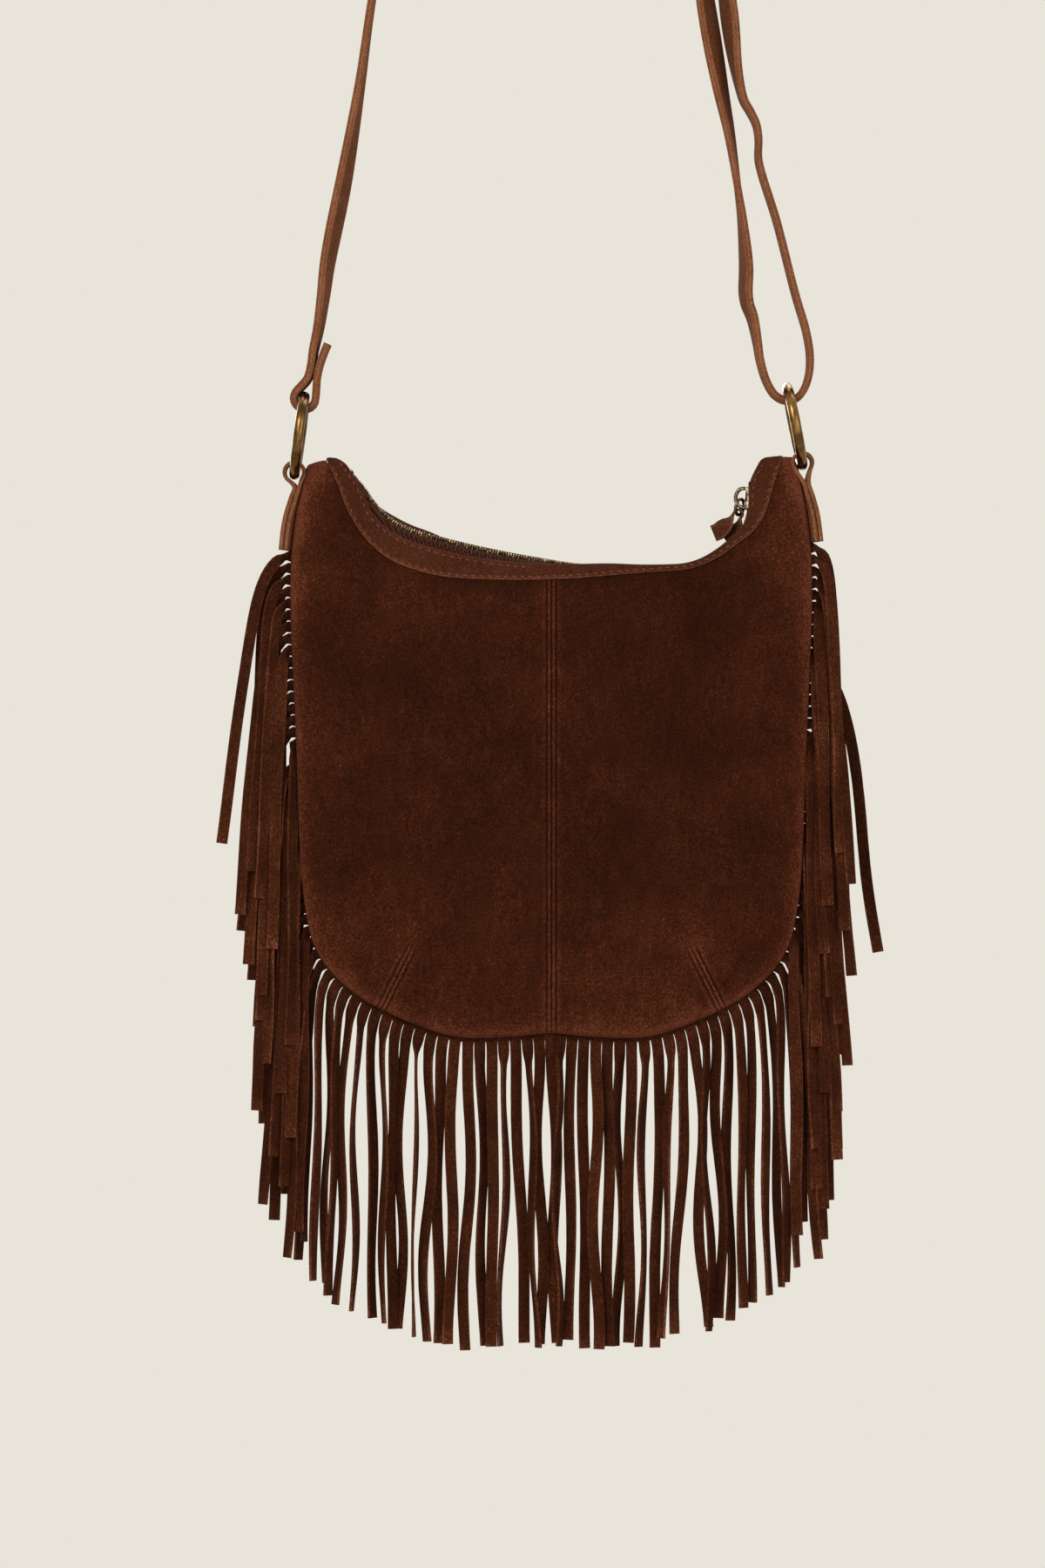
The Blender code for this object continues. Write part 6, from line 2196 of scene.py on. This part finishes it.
@dataclass
class Studio:
    """A pale floor below the hanging bag, a pale surround, soft lamps and the photograph's camera."""

    centre: Pair = (-13.9 * MM, 121.4 * MM)
    frame_height: float = 1800 * 0.42 * MM
    distance: float = 4.2
    floor: float = -0.42
    reach: float = 1.6
    aim: float = 140 * MM
    pale: str = "#e8e4da"

    def build(self) -> None:
        """Makes the floor, the lamps, the surround and the camera."""
        self._ground()
        self._lamps()
        self._world()
        self._camera()

    def _ground(self) -> None:
        """A round of pale paper that takes the bag's shadow and fades into the surround at its rim."""
        steps, rings = 96, 8
        circle = compass(2 * math.pi * np.arange(steps) / steps)
        points = [(0.0, 0.0, self.floor)]
        for ring in range(1, rings + 1):
            points += [(x, y, self.floor) for x, y in circle * (self.reach * ring / rings)]
        faces = [(0, 1 + k, 1 + (k + 1) % steps) for k in range(steps)]
        for ring in range(rings - 1):
            near, far = 1 + ring * steps, 1 + (ring + 1) * steps
            for k in range(steps):
                j = (k + 1) % steps
                faces.append((near + k, far + k, far + j, near + j))
        paper = new_object("ground", new_mesh("ground", points, faces))
        made, tree, shader = new_material("ground_paper")
        place = add_node(tree, "ShaderNodeTexCoord").outputs["Object"]
        flat = add_node(tree, "ShaderNodeVectorMath", {0: place, 1: (1, 1, 0)}, operation="MULTIPLY")
        away = add_node(tree, "ShaderNodeVectorMath", {0: flat}, operation="LENGTH")
        fade = add_node(tree, "ShaderNodeMapRange", {
            "Value": away.outputs["Value"], "From Min": 0.35, "From Max": 0.95 * self.reach},
            interpolation_type="SMOOTHSTEP")
        shown = add_node(tree, "ShaderNodeMath", {0: seen_rays(tree), 1: fade},
                         operation="MULTIPLY")
        glow = add_node(tree, "ShaderNodeEmission", {"Color": linear(self.pale), "Strength": 1.0})
        feed(tree, shader, {"Base Color": linear("#d8d4ca"), "Roughness": 0.9})
        blend = add_node(tree, "ShaderNodeMixShader", {
            0: shown, 1: shader, 2: glow})
        output = next(n for n in tree.nodes if n.type == "OUTPUT_MATERIAL")
        feed(tree, output, {"Surface": blend})
        paper.data.materials.append(made)
        paper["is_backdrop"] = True

    def _lamps(self) -> None:
        """A broad key from the upper left, fills from the right, the front and behind, and a rim light."""
        for name, (x, y, z), size, power, colour in (
            ("key", (-1.5, -2.2, 1.6), 1.6, 62.0, "#fffaf2"),
            ("fill", (1.9, -1.9, 0.7), 1.8, 30.0, "#fffaf4"),
            ("front", (0.0, -3.0, -0.1), 2.0, 18.0, "#ffffff"),
            ("rim", (0.4, 0.7, 1.3), 1.2, 12.0, "#ffffff"),
            ("back", (-1.0, 3.0, 0.9), 2.0, 52.0, "#fffaf4"),
        ):
            lamp = bpy.data.lights.new(name, "AREA")
            lamp.size = size
            lamp.energy = power
            lamp.color = linear(colour)[:3]
            made = new_object(name, lamp)
            made.location = (x, y, z + BODY_BOTTOM_Z + self.aim)
            target = Vector((0.0, 0.0, self.aim + BODY_BOTTOM_Z))
            made.rotation_euler = (target - made.location).to_track_quat("-Z", "Y").to_euler()

    def _world(self) -> None:
        """An even pale surround."""
        world = bpy.data.worlds.new("studio")
        world.use_nodes = True
        tree = world.node_tree
        back = tree.nodes["Background"]
        feed(tree, back, {"Color": linear("#efece6"), "Strength": 0.42})
        pale = add_node(tree, "ShaderNodeBackground", {"Color": linear(self.pale), "Strength": 1.0})
        blend = add_node(tree, "ShaderNodeMixShader", {
            0: seen_rays(tree), 1: back, 2: pale})
        feed(tree, tree.nodes["World Output"], {"Surface": blend})
        bpy.context.scene.world = world
        bpy.context.scene.view_settings.view_transform = "Standard"

    def _camera(self) -> None:
        """A long lens square to the bag's front, framed as the photograph is."""
        lens = bpy.data.cameras.new("camera")
        lens.sensor_fit = "VERTICAL"
        lens.sensor_height = 36.0
        lens.lens = 36.0 * self.distance / self.frame_height
        made = new_object("camera", lens)
        made.location = (self.centre[0], -self.distance, self.centre[1] + BODY_BOTTOM_Z)
        made.rotation_euler = (math.pi / 2, 0.0, 0.0)
        bpy.context.scene.camera = made


def seen_rays(tree: Tree) -> Node:
    """1 for the rays that show the surroundings: the camera's, and those that metal reflects.

    Args:
        tree: the node tree.

    Returns:
        The node whose output is that number.
    """
    ray = add_node(tree, "ShaderNodeLightPath").outputs
    shown = ray["Is Camera Ray"]
    for kind in ("Is Glossy Ray", "Is Transmission Ray"):
        shown = add_node(tree, "ShaderNodeMath", {0: shown, 1: ray[kind]}, operation="MAXIMUM")
    return shown


def corners(box: tuple[Vector, Vector]) -> list[list[float]]:
    """A box's lowest and highest corners as plain numbers."""
    return [[round(float(v), 6) for v in corner] for corner in box]


def main() -> None:
    """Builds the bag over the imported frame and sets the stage."""
    logging.basicConfig(level=logging.INFO, format="%(message)s")
    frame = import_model()
    dress(frame["nodes"]["strap_slide"], Finish.BRASS)
    sizes = {"cad": corners(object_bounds())}
    panels, yokes = Panels(), Yokes()
    assemblies = (panels, yokes, Sewing(panels, yokes), Carriers(), Zip(), Fringe())
    for assembly in assemblies:
        for piece in assembly.build():
            LOG.info("%s: %d faces", piece.name, len(piece.data.polygons))
    Studio().build()
    sizes["visual"] = corners(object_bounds())


if __name__ == "__main__":
    main()
